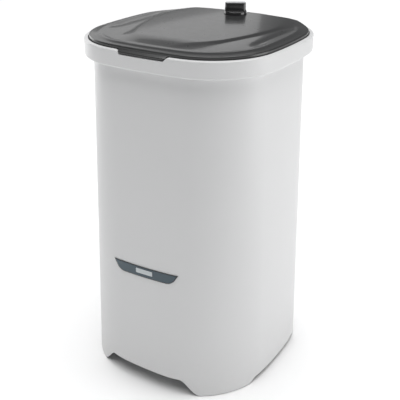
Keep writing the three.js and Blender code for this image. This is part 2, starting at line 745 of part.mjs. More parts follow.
add('cabinet', 'white', cabinet());
add('top_collar', 'white', topCollar());
add('base_tray', 'grey', baseTray());
corners().forEach(([x, y], i) => {
  const name = ['front_left', 'front_right', 'rear_left', 'rear_right'][i];
  add(`rubber_foot_${name}`, 'rubber', rubberFoot(), x, y);
});
add('badge_plate', 'badge', badgePlate());
add('badge_label', 'grey', badgeLabel());
add('tub_floor', 'white', tubFloor());
add('tub_wall', 'white', tubWall(), 0, AXIS_Y);
add('drain_hose', 'rubber', drainHose());
add('drain_spout', 'grey', drainSpout());
add('cord_inlet', 'rubber', cordInlet());
add('shaft_bellows', 'rubber', shaftBellows(), 0, AXIS_Y);
add('capacitor', 'grey', capacitor(), 92, AXIS_Y - 96);
add('capacitor_clamp', 'steel', capacitorClamp(), 92, AXIS_Y - 96);
add('lid_switch_body', 'black', lidSwitch());
add('lid_switch_plunger', 'grey', switchPlunger());
add('brake_cable', 'black', brakeCable());

add('lid_cover', 'lid', lidCover());
add('lid_liner', 'white', lidLiner());
add('lid_seal', 'rubber', lidSeal());
for (const [side, name] of [[-1, 'left'], [1, 'right']]) {
  add(`hinge_bracket_${name}`, 'steel', hingeBracket(), side * HINGE_X);
  add(`hinge_pin_${name}`, 'steel', hingePin(), side * HINGE_X);
}
add('timer_cup', 'white', timerCup(), 0, KNOB_Y);
add('timer_body', 'black', timerBody(), 0, KNOB_Y);
add('timer_spindle', 'steel', rod(3, DECK_Z + 20.4, KNOB_BASE + 8, 12), 0, KNOB_Y);
add('timer_knob', 'black', knobGrip(), 0, KNOB_Y, KNOB_BASE).rotation.z = KNOB_TURN;
add('knob_inlay', 'grey', knobInlay(), 0, KNOB_Y, KNOB_BASE + KNOB_HEIGHT + 0.3).rotation.z = KNOB_TURN;

MOUNT_ANGLES.forEach((angle, i) => {
  const x = MOUNT_RADIUS * Math.cos(angle);
  const y = AXIS_Y + MOUNT_RADIUS * Math.sin(angle);
  add(`rubber_mount_${i + 1}`, 'rubber', rubberMount(), x, y);
  add(`mount_nut_${i + 1}`, 'steel', mountNut(), x, y);
});
add('motor_plate', 'steel', motorPlate(), 0, AXIS_Y);
add('motor_bell_lower', 'basket', motorBell(56), 0, AXIS_Y, PLATE_Z + 3.4);
const upperBell = add('motor_bell_upper', 'basket', motorBell(58), 0, AXIS_Y, MOTOR_TOP);
upperBell.rotation.x = Math.PI;
add('stator', 'steel', stator(), 0, AXIS_Y);
add('winding_upper', 'copper', winding(), 0, AXIS_Y, 182.4);
const lowerWinding = add('winding_lower', 'copper', winding(), 0, AXIS_Y, 117.6);
lowerWinding.rotation.x = Math.PI;
add('bearing_lower', 'steel', bearing(), 0, AXIS_Y, PLATE_Z + 6.8);
add('bearing_upper', 'steel', bearing(), 0, AXIS_Y, MOTOR_TOP - 12.6);
add('brake_pivot', 'steel', brakePivot());
add('brake_lever', 'steel', brakeLever());
add('brake_pad', 'rubber', brakePad());

add('motor_shaft', 'steel', motorShaft(), 0, AXIS_Y);
add('rotor', 'steel', rotor(), 0, AXIS_Y);
add('brake_drum', 'steel', brakeDrum(), 0, AXIS_Y);
add('basket_floor', 'basket', basketFloor(), 0, AXIS_Y);
add('basket_wall', 'basket', basketWall(), 0, AXIS_Y);
add('basket_flange', 'basket', basketFlange(), 0, AXIS_Y);
add('basket_hub', 'grey', basketHub(), 0, AXIS_Y);
add('shaft_nut', 'steel', shaftNut(), 0, AXIS_Y);
add('hub_cap', 'grey', hubCap(), 0, AXIS_Y);
add('balance_ring', 'white', balanceRing(), 0, AXIS_Y);

export default dryer;
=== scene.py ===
"""A domestic spin dryer: tapered white cabinet, overhanging collar, dark hinged lid, spinning basket."""

import math

import bmesh
import bpy
import numpy as np
from mathutils import Matrix, Vector


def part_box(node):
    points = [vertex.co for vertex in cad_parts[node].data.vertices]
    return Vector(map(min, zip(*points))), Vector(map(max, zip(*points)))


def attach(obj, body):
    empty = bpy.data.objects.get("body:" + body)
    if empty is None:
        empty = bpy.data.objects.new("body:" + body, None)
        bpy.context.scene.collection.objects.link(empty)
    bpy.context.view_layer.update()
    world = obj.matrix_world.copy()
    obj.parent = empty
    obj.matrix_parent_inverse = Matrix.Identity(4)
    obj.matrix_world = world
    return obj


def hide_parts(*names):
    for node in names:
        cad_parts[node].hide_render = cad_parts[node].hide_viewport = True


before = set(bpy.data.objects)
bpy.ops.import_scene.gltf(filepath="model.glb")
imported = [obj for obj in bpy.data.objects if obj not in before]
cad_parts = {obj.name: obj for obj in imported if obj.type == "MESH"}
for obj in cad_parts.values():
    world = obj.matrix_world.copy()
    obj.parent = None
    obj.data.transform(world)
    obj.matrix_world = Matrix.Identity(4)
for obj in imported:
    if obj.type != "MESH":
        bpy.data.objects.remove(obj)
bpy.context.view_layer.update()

MM = 0.001


# ---- Camera and studio ----------------------------------------------------------------------
# The dryer stands on a pale floor in a white studio under a broad bright ceiling. Softboxes stand
# on its right and left, and a wide low one behind it shines on the lid.

AXIS_Y = sum(corner.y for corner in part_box("balance_ring")) / 2
CAMERA_AZIMUTH = math.radians(32.15)
CAMERA_PITCH = math.radians(25.59)
CAMERA_DISTANCE = 1.5067
CAMERA_TARGET = Vector((0.0, AXIS_Y, 0.3299))


def outward(azimuth, elevation):
    """The direction from the dryer towards a place round it. Azimuth 0 is in front, 90 degrees on its right."""
    level = math.cos(elevation)
    return Vector((math.sin(azimuth) * level, -math.cos(azimuth) * level, math.sin(elevation)))


camera = bpy.data.objects.new("camera", bpy.data.cameras.new("camera"))
bpy.context.scene.collection.objects.link(camera)
camera.data.sensor_width = 36.0
camera.data.lens = 64.63
camera.data.clip_end = 50.0
camera.location = CAMERA_TARGET + CAMERA_DISTANCE * outward(CAMERA_AZIMUTH, CAMERA_PITCH)
camera.rotation_euler = (CAMERA_TARGET - camera.location).to_track_quat("-Z", "Y").to_euler()
bpy.context.scene.camera = camera


def softbox(name, azimuth, elevation, distance, width, height, power, tint=(1.0, 1.0, 1.0)):
    light = bpy.data.lights.new(name, "AREA")
    light.shape = "RECTANGLE"
    light.size = width
    light.size_y = height
    light.energy = power
    light.color = tint
    lamp = bpy.data.objects.new(name, light)
    bpy.context.scene.collection.objects.link(lamp)
    centre = Vector((0.0, AXIS_Y, 0.4))
    lamp.location = centre + distance * outward(math.radians(azimuth), math.radians(elevation))
    lamp.rotation_euler = (centre - lamp.location).to_track_quat("-Z", "Y").to_euler()
    lamp.visible_camera = False
    return lamp


ceiling = bpy.data.lights.new("ceiling", "SUN")
ceiling.energy = 2.9
ceiling.angle = math.radians(70)
ceiling_lamp = bpy.data.objects.new("ceiling", ceiling)
bpy.context.scene.collection.objects.link(ceiling_lamp)
softbox("right_light", 112, 10, 2.6, 1.6, 2.0, 21)
softbox("left_light", -104, 12, 2.8, 1.4, 2.0, 14)
softbox("back_light", 224, 23, 3.0, 2.0, 0.8, 3.9)

world = bpy.data.worlds.new("studio")
bpy.context.scene.world = world
world.use_nodes = True
sky = world.node_tree
backdrop = sky.nodes["Background"]
backdrop.inputs["Color"].default_value = (0.98, 0.99, 1.0, 1.0)
AMBIENT = 0.18
seen_directly = sky.nodes.new("ShaderNodeLightPath").outputs["Is Camera Ray"]
brightness = sky.nodes.new("ShaderNodeMapRange")
brightness.inputs["To Min"].default_value = AMBIENT
brightness.inputs["To Max"].default_value = 1.0
sky.links.new(seen_directly, brightness.inputs["Value"])
sky.links.new(brightness.outputs["Result"], backdrop.inputs["Strength"])
bpy.context.scene.view_settings.view_transform = "Standard"
bpy.context.scene.view_settings.look = "None"


# ---- Floor ----------------------------------------------------------------------------------
# A plain pale studio floor, wide enough to fill the view behind the dryer.

FLOOR_RADIUS = 14.0
floor_mesh = bpy.data.meshes.new("studio_floor")
floor_form = bmesh.new()
bmesh.ops.create_circle(floor_form, cap_ends=True, segments=96, radius=FLOOR_RADIUS)
floor_form.to_mesh(floor_mesh)
floor_form.free()
floor = bpy.data.objects.new("studio_floor", floor_mesh)
bpy.context.scene.collection.objects.link(floor)
floor_paint = bpy.data.materials.new("studio_floor")
floor_paint.use_nodes = True
floor_paint.node_tree.nodes["Principled BSDF"].inputs["Base Color"].default_value = (0.93, 0.93, 0.93, 1)
floor_paint.node_tree.nodes["Principled BSDF"].inputs["Roughness"].default_value = 0.9
floor_paint.node_tree.nodes["Principled BSDF"].inputs["Specular IOR Level"].default_value = 0.1
floor_mesh.materials.append(floor_paint)


# ---- Cabinet --------------------------------------------------------------------------------
# One moulding of satin white polypropylene, a rounded square with bowed sides that narrows from
# the floor to the neck. The foot of the front is cut away in a shallow arch, and the other three
# sides are lifted a little, so that it stands on its corners.

FLOOR_PLAN = {"half_width": 0.1975, "half_depth": 0.212, "side_radius": 0.790, "corner_radius": 0.159, "y": 0.0}
NECK_PLAN = {"half_width": 0.180, "half_depth": 0.175, "side_radius": 0.914, "corner_radius": 0.114, "y": AXIS_Y}
NECK_Z = 0.648
WALL = 0.0035
CABINET_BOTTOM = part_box("cabinet")[0].z
CABINET_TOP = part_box("cabinet")[1].z
CABINET_ROWS = 56
ARCH_HEIGHT = 0.0345
ARCH_HALF_TOP = 0.083
ARCH_HALF_BOTTOM = 0.118
SKIRT_LIFT = 0.010
SKIRT_HALF_TOP = 0.082
SKIRT_HALF_BOTTOM = 0.106
SIDE_STEPS = 24
CORNER_STEPS = 72


def plan_ring(plan, inset=0.0):
    """Points round a plan, moved in by an inset, anticlockwise from +X: wide side arcs, tangent corner arcs."""
    radius = plan["side_radius"] - inset
    corner = plan["corner_radius"] - inset
    side_x = plan["half_width"] - plan["side_radius"]
    side_y = plan["half_depth"] - plan["side_radius"]
    half = math.hypot(side_x, side_y) / 2
    rise = math.sqrt((radius - corner) ** 2 - half**2)
    x = side_x / 2 - rise * side_y / (2 * half)
    y = side_y / 2 - rise * side_x / (2 * half)
    low = math.atan2(y, x - side_x)
    high = math.atan2(y - side_y, x)

    def arc(cx, cy, r, start, end, steps):
        angle = np.linspace(start, end, steps, endpoint=False)
        return np.stack([cx + r * np.cos(angle), cy + r * np.sin(angle)], axis=1)

    quarter = np.concatenate([
        arc(side_x, 0, radius, 0, low, SIDE_STEPS),
        arc(x, y, corner, low, high, CORNER_STEPS),
        arc(0, side_y, radius, high, math.pi / 2, SIDE_STEPS),
    ])
    top = np.array([[0.0, plan["half_depth"] - inset]])
    left = np.concatenate([top, quarter[1:][::-1]]) * [-1, 1]
    upper = np.concatenate([quarter, left])
    return np.concatenate([upper, -upper]) + [0.0, plan["y"]]


def cabinet_plan(z):
    share = z / NECK_Z
    return {key: FLOOR_PLAN[key] + (NECK_PLAN[key] - FLOOR_PLAN[key]) * share for key in FLOOR_PLAN}


def slope(value, start, end):
    """0 before start, 1 after end, and straight between them."""
    return np.clip((value - start) / (end - start), 0.0, 1.0)


def smooth(value, start, end):
    t = slope(value, start, end)
    return t * t * (3 - 2 * t)


def foot_edge(x, y):
    """The height of the cabinet's lower edge: the arch in front, and low lifts on the other three sides."""
    arch = ARCH_HEIGHT * smooth(-np.abs(x), -ARCH_HALF_BOTTOM - 0.004, -ARCH_HALF_TOP + 0.004) * (y < 0)
    rear = SKIRT_LIFT * smooth(-np.abs(x), -SKIRT_HALF_BOTTOM, -SKIRT_HALF_TOP) * (y > 0)
    side = SKIRT_LIFT * smooth(-np.abs(y), -SKIRT_HALF_BOTTOM, -SKIRT_HALF_TOP) * (np.abs(x) > 0.15)
    return CABINET_BOTTOM + np.maximum(np.maximum(arch, rear), side)


def sheet_of(name, rows, ring=True, cap_start=False, cap_end=False):
    """A mesh from rows of points, each joined to the next. A ring's rows close on themselves."""
    rows = np.asarray(rows, float)
    count, width = rows.shape[:2]
    vertices = rows.reshape(-1, 3)
    across = width if ring else width - 1
    faces = [
        (r * width + i, r * width + (i + 1) % width, (r + 1) * width + (i + 1) % width, (r + 1) * width + i)
        for r in range(count - 1) for i in range(across)
    ]
    if cap_start:
        middle = len(vertices)
        vertices = np.vstack([vertices, rows[0].mean(axis=0)])
        faces += [((i + 1) % width, i, middle) for i in range(width)]
    if cap_end:
        middle = len(vertices)
        last = (count - 1) * width
        vertices = np.vstack([vertices, rows[-1].mean(axis=0)])
        faces += [(last + i, last + (i + 1) % width, middle) for i in range(width)]
    mesh = bpy.data.meshes.new(name)
    mesh.from_pydata([tuple(v) for v in vertices], [], faces)
    mesh.validate()
    piece = bpy.data.objects.new(name, mesh)
    bpy.context.scene.collection.objects.link(piece)
    return piece


def closed(name, rows, ring=True):
    """A solid whose last row joins its first, such as a wall's outside and inside."""
    return sheet_of(name, list(rows) + [rows[0]], ring)


def tidy_mesh(piece, sharp_angle=35):
    """Merges doubles, turns every face outwards and shades smoothly between sharp edges."""
    form = bmesh.new()
    form.from_mesh(piece.data)
    bmesh.ops.remove_doubles(form, verts=form.verts, dist=1e-6)
    bmesh.ops.recalc_face_normals(form, faces=form.faces)
    form.to_mesh(piece.data)
    form.free()
    piece.data.shade_smooth()
    piece.data.set_sharp_from_angle(angle=math.radians(sharp_angle))
    return piece


def settled(piece, sharp_angle=35):
    """Turns a piece with its modifiers into a plain mesh."""
    view = bpy.context.evaluated_depsgraph_get()
    mesh = bpy.data.meshes.new_from_object(piece.evaluated_get(view))
    old = piece.data
    piece.modifiers.clear()
    piece.data = mesh
    bpy.data.meshes.remove(old)
    mesh.name = piece.name
    mesh.shade_smooth()
    mesh.set_sharp_from_angle(angle=math.radians(sharp_angle))
    return piece


def thickened(piece, thickness, edge_round=0.0):
    shell = piece.modifiers.new("wall", "SOLIDIFY")
    shell.thickness = thickness
    shell.offset = -1
    shell.use_even_offset = True
    if edge_round:
        bevel = piece.modifiers.new("edges", "BEVEL")
        bevel.width = edge_round
        bevel.segments = 3
        bevel.limit_method = "ANGLE"
        bevel.angle_limit = math.radians(50)
    return settled(piece)


def cut_away(piece, *tools, solver="EXACT"):
    """Takes each tool's shape out of a piece, and removes the tools."""
    for tool in tools:
        knife = piece.modifiers.new("cut", "BOOLEAN")
        knife.operation = "DIFFERENCE"
        knife.solver = solver
        knife.object = tool
    settled(piece)
    for tool in tools:
        bpy.data.objects.remove(tool)
    return piece


def rounded(points, steps=6):
    """A path with its corners rounded. Each point is (across, up, radius), and the ends stay as they are."""
    path = []
    for i, (across, up, radius) in enumerate(points):
        here = Vector((across, up))
        if radius == 0 or i in (0, len(points) - 1):
            path.append((across, up))
            continue
        before = Vector(points[i - 1][:2]) - here
        after = Vector(points[i + 1][:2]) - here
        half_angle = before.angle(after) / 2
        reach = min(radius / math.tan(half_angle), before.length * 0.49, after.length * 0.49)
        start = here + before.normalized() * reach
        end = here + after.normalized() * reach
        for step in range(steps + 1):
            t = step / steps
            point = start * (1 - t) ** 2 + here * 2 * t * (1 - t) + end * t * t
            path.append((point.x, point.y))
    return path


def turned(name, profile, segments=64, at=(0.0, 0.0, 0.0), axis="Z", loop=False):
    """A round solid. The profile is a path of (radius, height), which closes on itself if loop is set."""
    angle = np.linspace(0, 2 * math.pi, segments, endpoint=False)
    path = list(profile) + ([profile[0]] if loop else [])
    rows = [[(r * math.cos(a), r * math.sin(a), h) for a in angle] for r, h in path]
    piece = sheet_of(name, rows)
    tidy_mesh(piece)
    if axis == "Y":
        piece.data.transform(Matrix.Rotation(-math.pi / 2, 4, "X"))
    if axis == "X":
        piece.data.transform(Matrix.Rotation(math.pi / 2, 4, "Y"))
    piece.data.transform(Matrix.Translation(at))
    return piece


def block(name, low, high, edge_round=0.0):
    form = bmesh.new()
    bmesh.ops.create_cube(form, size=1.0)
    for vertex in form.verts:
        vertex.co = [l + (h - l) * (c + 0.5) for l, h, c in zip(low, high, vertex.co)]
    if edge_round:
        bmesh.ops.bevel(form, geom=form.edges, offset=edge_round, segments=3, profile=0.5, affect="EDGES")
    mesh = bpy.data.meshes.new(name)
    form.to_mesh(mesh)
    form.free()
    piece = bpy.data.objects.new(name, mesh)
    bpy.context.scene.collection.objects.link(piece)
    mesh.shade_smooth()
    mesh.set_sharp_from_angle(angle=math.radians(35))
    return piece


def node_group(name, inputs, outputs):
    """An empty shader group with named sockets: (name, kind, first value)."""
    group = bpy.data.node_groups.new(name, "ShaderNodeTree")
    for label, kind, value in inputs:
        socket = group.interface.new_socket(label, in_out="INPUT", socket_type=kind)
        socket.default_value = value
    for label, kind in outputs:
        group.interface.new_socket(label, in_out="OUTPUT", socket_type=kind)
    return group


def place(tree, kind, **values):
    """Adds a node to a tree and sets its named settings and, by name, its input sockets."""
    node = tree.nodes.new(kind)
    for key, value in values.items():
        if hasattr(node, key):
            setattr(node, key, value)
        else:
            node.inputs[key.replace("_", " ")].default_value = value
    return node


def moulded_plastic_group():
    """Fine moulded grain, a faint cloudiness in colour and gloss, and dust that gathers low down."""
    group = node_group(
        "moulded_plastic",
        [("Colour", "NodeSocketColor", (0.8, 0.8, 0.8, 1)), ("Roughness", "NodeSocketFloat", 0.4),
         ("Grain Size", "NodeSocketFloat", 900.0), ("Grain Depth", "NodeSocketFloat", 0.05),
         ("Cloud", "NodeSocketFloat", 0.02), ("Dust", "NodeSocketFloat", 0.1)],
        [("Colour", "NodeSocketColor"), ("Roughness", "NodeSocketFloat"), ("Normal", "NodeSocketVector")],
    )
    link = group.links.new
    given = group.nodes.new("NodeGroupInput")
    result = group.nodes.new("NodeGroupOutput")
    place_on = place(group, "ShaderNodeTexCoord").outputs["Object"]
    grain = place(group, "ShaderNodeTexNoise", Detail=3.0)
    cloud = place(group, "ShaderNodeTexNoise", Scale=7.0, Detail=4.0)
    scuffs = place(group, "ShaderNodeTexNoise", Scale=55.0, Detail=6.0, Roughness=0.7)
    for texture in (grain, cloud, scuffs):
        link(place_on, texture.inputs["Vector"])
    link(given.outputs["Grain Size"], grain.inputs["Scale"])

    bump = place(group, "ShaderNodeBump", Distance=0.0002)
    link(grain.outputs["Fac"], bump.inputs["Height"])
    link(given.outputs["Grain Depth"], bump.inputs["Strength"])
    link(bump.outputs["Normal"], result.inputs["Normal"])

    height = place(group, "ShaderNodeSeparateXYZ")
    link(place_on, height.inputs["Vector"])
    low_down = place(group, "ShaderNodeMapRange", interpolation_type="SMOOTHSTEP")
    low_down.inputs["From Min"].default_value = 0.16
    low_down.inputs["From Max"].default_value = 0.0
    link(height.outputs["Z"], low_down.inputs["Value"])
    patchy = place(group, "ShaderNodeMath", operation="MULTIPLY")
    link(low_down.outputs["Result"], patchy.inputs[0])
    link(scuffs.outputs["Fac"], patchy.inputs[1])
    dust = place(group, "ShaderNodeMath", operation="MULTIPLY")
    link(patchy.outputs["Value"], dust.inputs[0])
    link(given.outputs["Dust"], dust.inputs[1])

    shade = place(group, "ShaderNodeMath", operation="MULTIPLY_ADD")
    link(cloud.outputs["Fac"], shade.inputs[0])
    link(given.outputs["Cloud"], shade.inputs[1])
    shade.inputs[2].default_value = 0.0
    darker = place(group, "ShaderNodeMix", data_type="RGBA", blend_type="MULTIPLY")
    link(shade.outputs["Value"], darker.inputs[0])
    link(given.outputs["Colour"], darker.inputs[6])
    darker.inputs[7].default_value = (0.55, 0.55, 0.56, 1)
    dusty = place(group, "ShaderNodeMix", data_type="RGBA")
    link(dust.outputs["Value"], dusty.inputs[0])
    link(darker.outputs[2], dusty.inputs[6])
    dusty.inputs[7].default_value = (0.42, 0.40, 0.37, 1)
    link(dusty.outputs[2], result.inputs["Colour"])

    uneven = place(group, "ShaderNodeMath", operation="MULTIPLY_ADD")
    link(scuffs.outputs["Fac"], uneven.inputs[0])
    uneven.inputs[1].default_value = 0.10
    uneven.inputs[2].default_value = -0.05
    rough = place(group, "ShaderNodeMath", operation="ADD")
    link(uneven.outputs["Value"], rough.inputs[0])
    link(given.outputs["Roughness"], rough.inputs[1])
    rougher = place(group, "ShaderNodeMath", operation="ADD", use_clamp=True)
    link(rough.outputs["Value"], rougher.inputs[0])
    link(dust.outputs["Value"], rougher.inputs[1])
    link(rougher.outputs["Value"], result.inputs["Roughness"])
    return group


MOULDED = moulded_plastic_group()


def surface(name, group, values, metallic=0.0, coat=0.0, specular=0.5, sheen=0.0):
    """A material whose colour, roughness and normal come from a shared group with this piece's values."""
    material = bpy.data.materials.new(name)
    material.use_nodes = True
    tree = material.node_tree
    shader = tree.nodes["Principled BSDF"]
    shader.inputs["Metallic"].default_value = metallic
    shader.inputs["Coat Weight"].default_value = coat
    shader.inputs["Coat Roughness"].default_value = 0.08
    shader.inputs["Specular IOR Level"].default_value = specular
    shader.inputs["Sheen Weight"].default_value = sheen
    finish = tree.nodes.new("ShaderNodeGroup")
    finish.node_tree = group
    for label, value in values.items():
        finish.inputs[label].default_value = value
    tree.links.new(finish.outputs["Colour"], shader.inputs["Base Color"])
    tree.links.new(finish.outputs["Roughness"], shader.inputs["Roughness"])
    tree.links.new(finish.outputs["Normal"], shader.inputs["Normal"])
    return material


def plastic(name, colour, roughness, grain_size=900.0, grain_depth=0.05, cloud=0.02, dust=0.1, **looks):
    values = {"Colour": (*colour, 1), "Roughness": roughness, "Grain Size": grain_size,
              "Grain Depth": grain_depth, "Cloud": cloud, "Dust": dust}
    return surface(name, MOULDED, values, **looks)


def stand_for(piece, material, slot, body, *nodes):
    """Gives a finished piece its material and its body, and hides the CAD nodes it stands for. Its finish slot is not
    used.
    """
    piece.data.materials.clear()
    piece.data.materials.append(material)
    piece.data.polygons.foreach_set("material_index", [0] * len(piece.data.polygons))
    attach(piece, body)
    if nodes:
        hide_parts(*nodes)
    return piece


white_plastic = plastic("white_plastic", (0.685, 0.687, 0.69), 0.36, grain_size=1400.0, grain_depth=0.04,
                        cloud=0.05, dust=0.12)

levels = np.linspace(CABINET_BOTTOM, CABINET_TOP, 15)
rings = np.array([plan_ring(cabinet_plan(z)) for z in levels])
edge = foot_edge(rings[0, :, 0], rings[0, :, 1])
share = np.linspace(0, 1, CABINET_ROWS) ** 1.25
cabinet_rows = []
for t in share:
    height = edge + (CABINET_TOP - edge) * t
    x = [np.interp(z, levels, rings[:, i, 0]) for i, z in enumerate(height)]
    y = [np.interp(z, levels, rings[:, i, 1]) for i, z in enumerate(height)]
    cabinet_rows.append(np.stack([x, y, height], axis=1))
cabinet = sheet_of("cabinet_shell", cabinet_rows)
thickened(cabinet, WALL, edge_round=0.0008)


def rear_hole(name, node, gap):
    """A round tool through the cabinet's rear wall, a little wider than a CAD node's neck."""
    low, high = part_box(node)
    centre = (low + high) / 2
    return turned(name, [(0, -0.03), (gap, -0.03), (gap, 0.06), (0, 0.06)], 48, (centre.x, high.y - 0.03, centre.z), "Y")


cut_away(cabinet, rear_hole("drain_hole", "drain_spout", 0.0134), rear_hole("inlet_hole", "cord_inlet", 0.0092))
stand_for(cabinet, white_plastic, "white_plastic", "cabinet", "cabinet")


# ---- Top collar -----------------------------------------------------------------------------
# A second white moulding caps the cabinet. Its overhanging skirt ends in a rounded rim, with a
# recessed deck for the lid and a round throat down to the basket. A notch in front takes the lip.

COLLAR_PLAN = {"half_width": 0.1965, "half_depth": 0.192, "side_radius": 0.914, "corner_radius": 0.131, "y": AXIS_Y}
RIM_Z = 0.680
DECK_Z = 0.668
DECK_THICKNESS = 0.0028
THROAT_RADIUS = 0.108
THROAT_BOTTOM = 0.6555
LIP_HALF_TOP = 0.052
LIP_HALF_BOTTOM = 0.045
LIP_BOTTOM = 0.6735
SWITCH_PLACE = (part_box("lid_switch_plunger")[0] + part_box("lid_switch_plunger")[1]) / 2


def level_ring(points, z):
    return np.column_stack([points, np.full(len(points), z)])


def throat_ring(radius, z):
    """A circle with each point in the direction of its point on the collar's plan."""
    points = plan_ring(COLLAR_PLAN) - [0, AXIS_Y]
    reach = np.hypot(points[:, 0], points[:, 1])[:, None]
    return level_ring(points / reach * radius + [0, AXIS_Y], z)


def collar_ring(inset, z):
    return level_ring(plan_ring(COLLAR_PLAN, inset), z)


outside_path = rounded([
    (0.010, NECK_Z + 0.0004, 0), (0.0, NECK_Z, 0.0052), (0.0, RIM_Z, 0.0066), (0.0074, RIM_Z, 0.0006),
    (0.0077, RIM_Z - 0.0032, 0.001),
    (0.012, DECK_Z, 0.0016), (0.017, DECK_Z, 0),
], steps=9)
throat_path = rounded([
    (THROAT_RADIUS + 0.010, DECK_Z, 0), (THROAT_RADIUS, DECK_Z, 0.0045), (THROAT_RADIUS, THROAT_BOTTOM, 0.001),
    (THROAT_RADIUS + 0.0025, THROAT_BOTTOM, 0.001), (THROAT_RADIUS + 0.005, DECK_Z - DECK_THICKNESS, 0),
], steps=6)
collar_rows = [level_ring(plan_ring(cabinet_plan(NECK_Z), -0.0008), NECK_Z + 0.001)]
collar_rows += [collar_ring(inset, z) for inset, z in outside_path]
collar_rows += [throat_ring(radius, z) for radius, z in throat_path]
collar_rows += [
    collar_ring(0.013, DECK_Z - DECK_THICKNESS), collar_ring(WALL, DECK_Z), collar_ring(WALL, NECK_Z + 0.006),
    collar_ring(0.008, NECK_Z + 0.0034), level_ring(plan_ring(cabinet_plan(NECK_Z), -0.0008), NECK_Z + 0.0044),
]
notch_floor = LIP_BOTTOM - 0.001
for row in collar_rows:
    in_front = (row[:, 1] < -0.15) & (row[:, 2] > notch_floor)
    side = slope(np.abs(row[:, 0]), LIP_HALF_BOTTOM + 0.0012, LIP_HALF_TOP + 0.0026)
    limit = notch_floor + (RIM_Z + 0.001 - notch_floor) * side
    row[:, 2] = np.where(in_front, np.minimum(row[:, 2], limit), row[:, 2])
collar = tidy_mesh(closed("collar_shell", collar_rows), 40)
plunger_hole = turned("plunger_hole", [(0, -0.01), (0.003, -0.01), (0.003, 0.01), (0, 0.01)], 32,
                      (SWITCH_PLACE.x, SWITCH_PLACE.y, DECK_Z))
cut_away(collar, plunger_hole)
stand_for(collar, white_plastic, "white_plastic", "cabinet", "top_collar")


# ---- Badge ----------------------------------------------------------------------------------
# A thin dark petrol plate, wider at the top than the bottom, is stuck on the front a touch off
# level. A darker border runs round it, and a small blank label of light grey lies in its middle.

BADGE_Z = 0.2565
BADGE_HEIGHT = 0.0215
BADGE_HALF_TOP = 0.0755
BADGE_HALF_BOTTOM = 0.053
BADGE_TURN = math.radians(2)
LABEL_HEIGHT = 0.0095
LABEL_HALF_WIDTH = 0.0193
LABEL_RISE = 0.0015


def front_y(x, z):
    """Where the cabinet's front surface is."""
    ring = plan_ring(cabinet_plan(z))
    front = ring[ring[:, 1] < 0]
    order = np.argsort(front[:, 0])
    return np.interp(x, front[order, 0], front[order, 1])


def front_plate(name, outline, lift, thickness):
    """A plate that follows the cabinet's front. Its outline gives, for each height, the half width."""
    rows = []
    for z, half in outline:
        across = np.linspace(-half, half, 65)
        x = across * math.cos(BADGE_TURN) - z * math.sin(BADGE_TURN)
        up = BADGE_Z + across * math.sin(BADGE_TURN) + z * math.cos(BADGE_TURN)
        y = [front_y(px, pz) - lift - thickness for px, pz in zip(x, up)]
        rows.append(np.stack([x, y, up], axis=1))
    plate = sheet_of(name, rows, ring=False)
    tidy_mesh(plate)
    if sum(face.normal.y for face in plate.data.polygons) > 0:
        plate.data.flip_normals()
    return thickened(plate, thickness, edge_round=min(thickness * 0.3, 0.00035))


def badge_outline(inset):
    half_height = BADGE_HEIGHT / 2 - inset
    outline = []
    for t in np.linspace(0, 1, 25):
        z = -half_height + 2 * half_height * t
        share = (z + BADGE_HEIGHT / 2) / BADGE_HEIGHT
        straight = BADGE_HALF_BOTTOM + 0.008 + (BADGE_HALF_TOP - BADGE_HALF_BOTTOM - 0.008) * share
        corner = 0.011 * (1 - math.sqrt(1 - (1 - min(t / 0.5, 1)) ** 2))
        outline.append((z, straight - corner - inset * 1.3))
    return outline


badge_border_plastic = plastic("badge_border", (0.006, 0.012, 0.018), 0.28, grain_depth=0.01, cloud=0.3, dust=0.0, coat=0.3)
badge_face_plastic = plastic("badge_face", (0.018, 0.052, 0.075), 0.25, grain_depth=0.01, cloud=0.5, dust=0.0, coat=0.5)
label_foil = plastic("label_foil", (0.58, 0.62, 0.64), 0.35, grain_size=2200.0, grain_depth=0.08, cloud=0.2, dust=0.0)
border = front_plate("badge_border", badge_outline(0.0), 0.0003, 0.0011)
stand_for(border, badge_border_plastic, "badge_plastic", "cabinet", "badge_plate")
face = front_plate("badge_face", badge_outline(0.0017), 0.0012, 0.0004)
stand_for(face, badge_face_plastic, "badge_plastic", "cabinet", "badge_plate")
label_outline = [(LABEL_RISE + LABEL_HEIGHT * (t - 0.5), LABEL_HALF_WIDTH - 0.0008 * (abs(t - 0.5) > 0.45))
                 for t in np.linspace(0, 1, 13)]
label = front_plate("badge_label_blank", label_outline, 0.0019, 0.0005)
stand_for(label, label_foil, "grey_plastic", "cabinet", "badge_label")


# ---- Lid cover ------------------------------------------------------------------------------
# A glossy dark grey moulding with a short skirt. A raised panel in its middle falls to the sides
# in two long curved creases, and to the back into a valley in front of a higher rear rim.

LID_PLAN = {"half_width": 0.1875, "half_depth": 0.183, "side_radius": 0.905, "corner_radius": 0.124, "y": AXIS_Y}
LID_EDGE_Z = 0.6812
LID_SKIRT = 0.0044
LID_WALL = 0.0025
SKIRT_DROP = 0.0024
LID_ROWS = 84
HINGE_PINS = [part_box("hinge_pin_left"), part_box("hinge_pin_right")]
HINGE_Y = sum(corner.y for corner in HINGE_PINS[0]) / 2
HINGE_Z = sum(corner.z for corner in HINGE_PINS[0]) / 2
HINGE_CENTRES = [sum(corner.x for corner in pin) / 2 for pin in HINGE_PINS]
EAR_OFFSET = 0.015


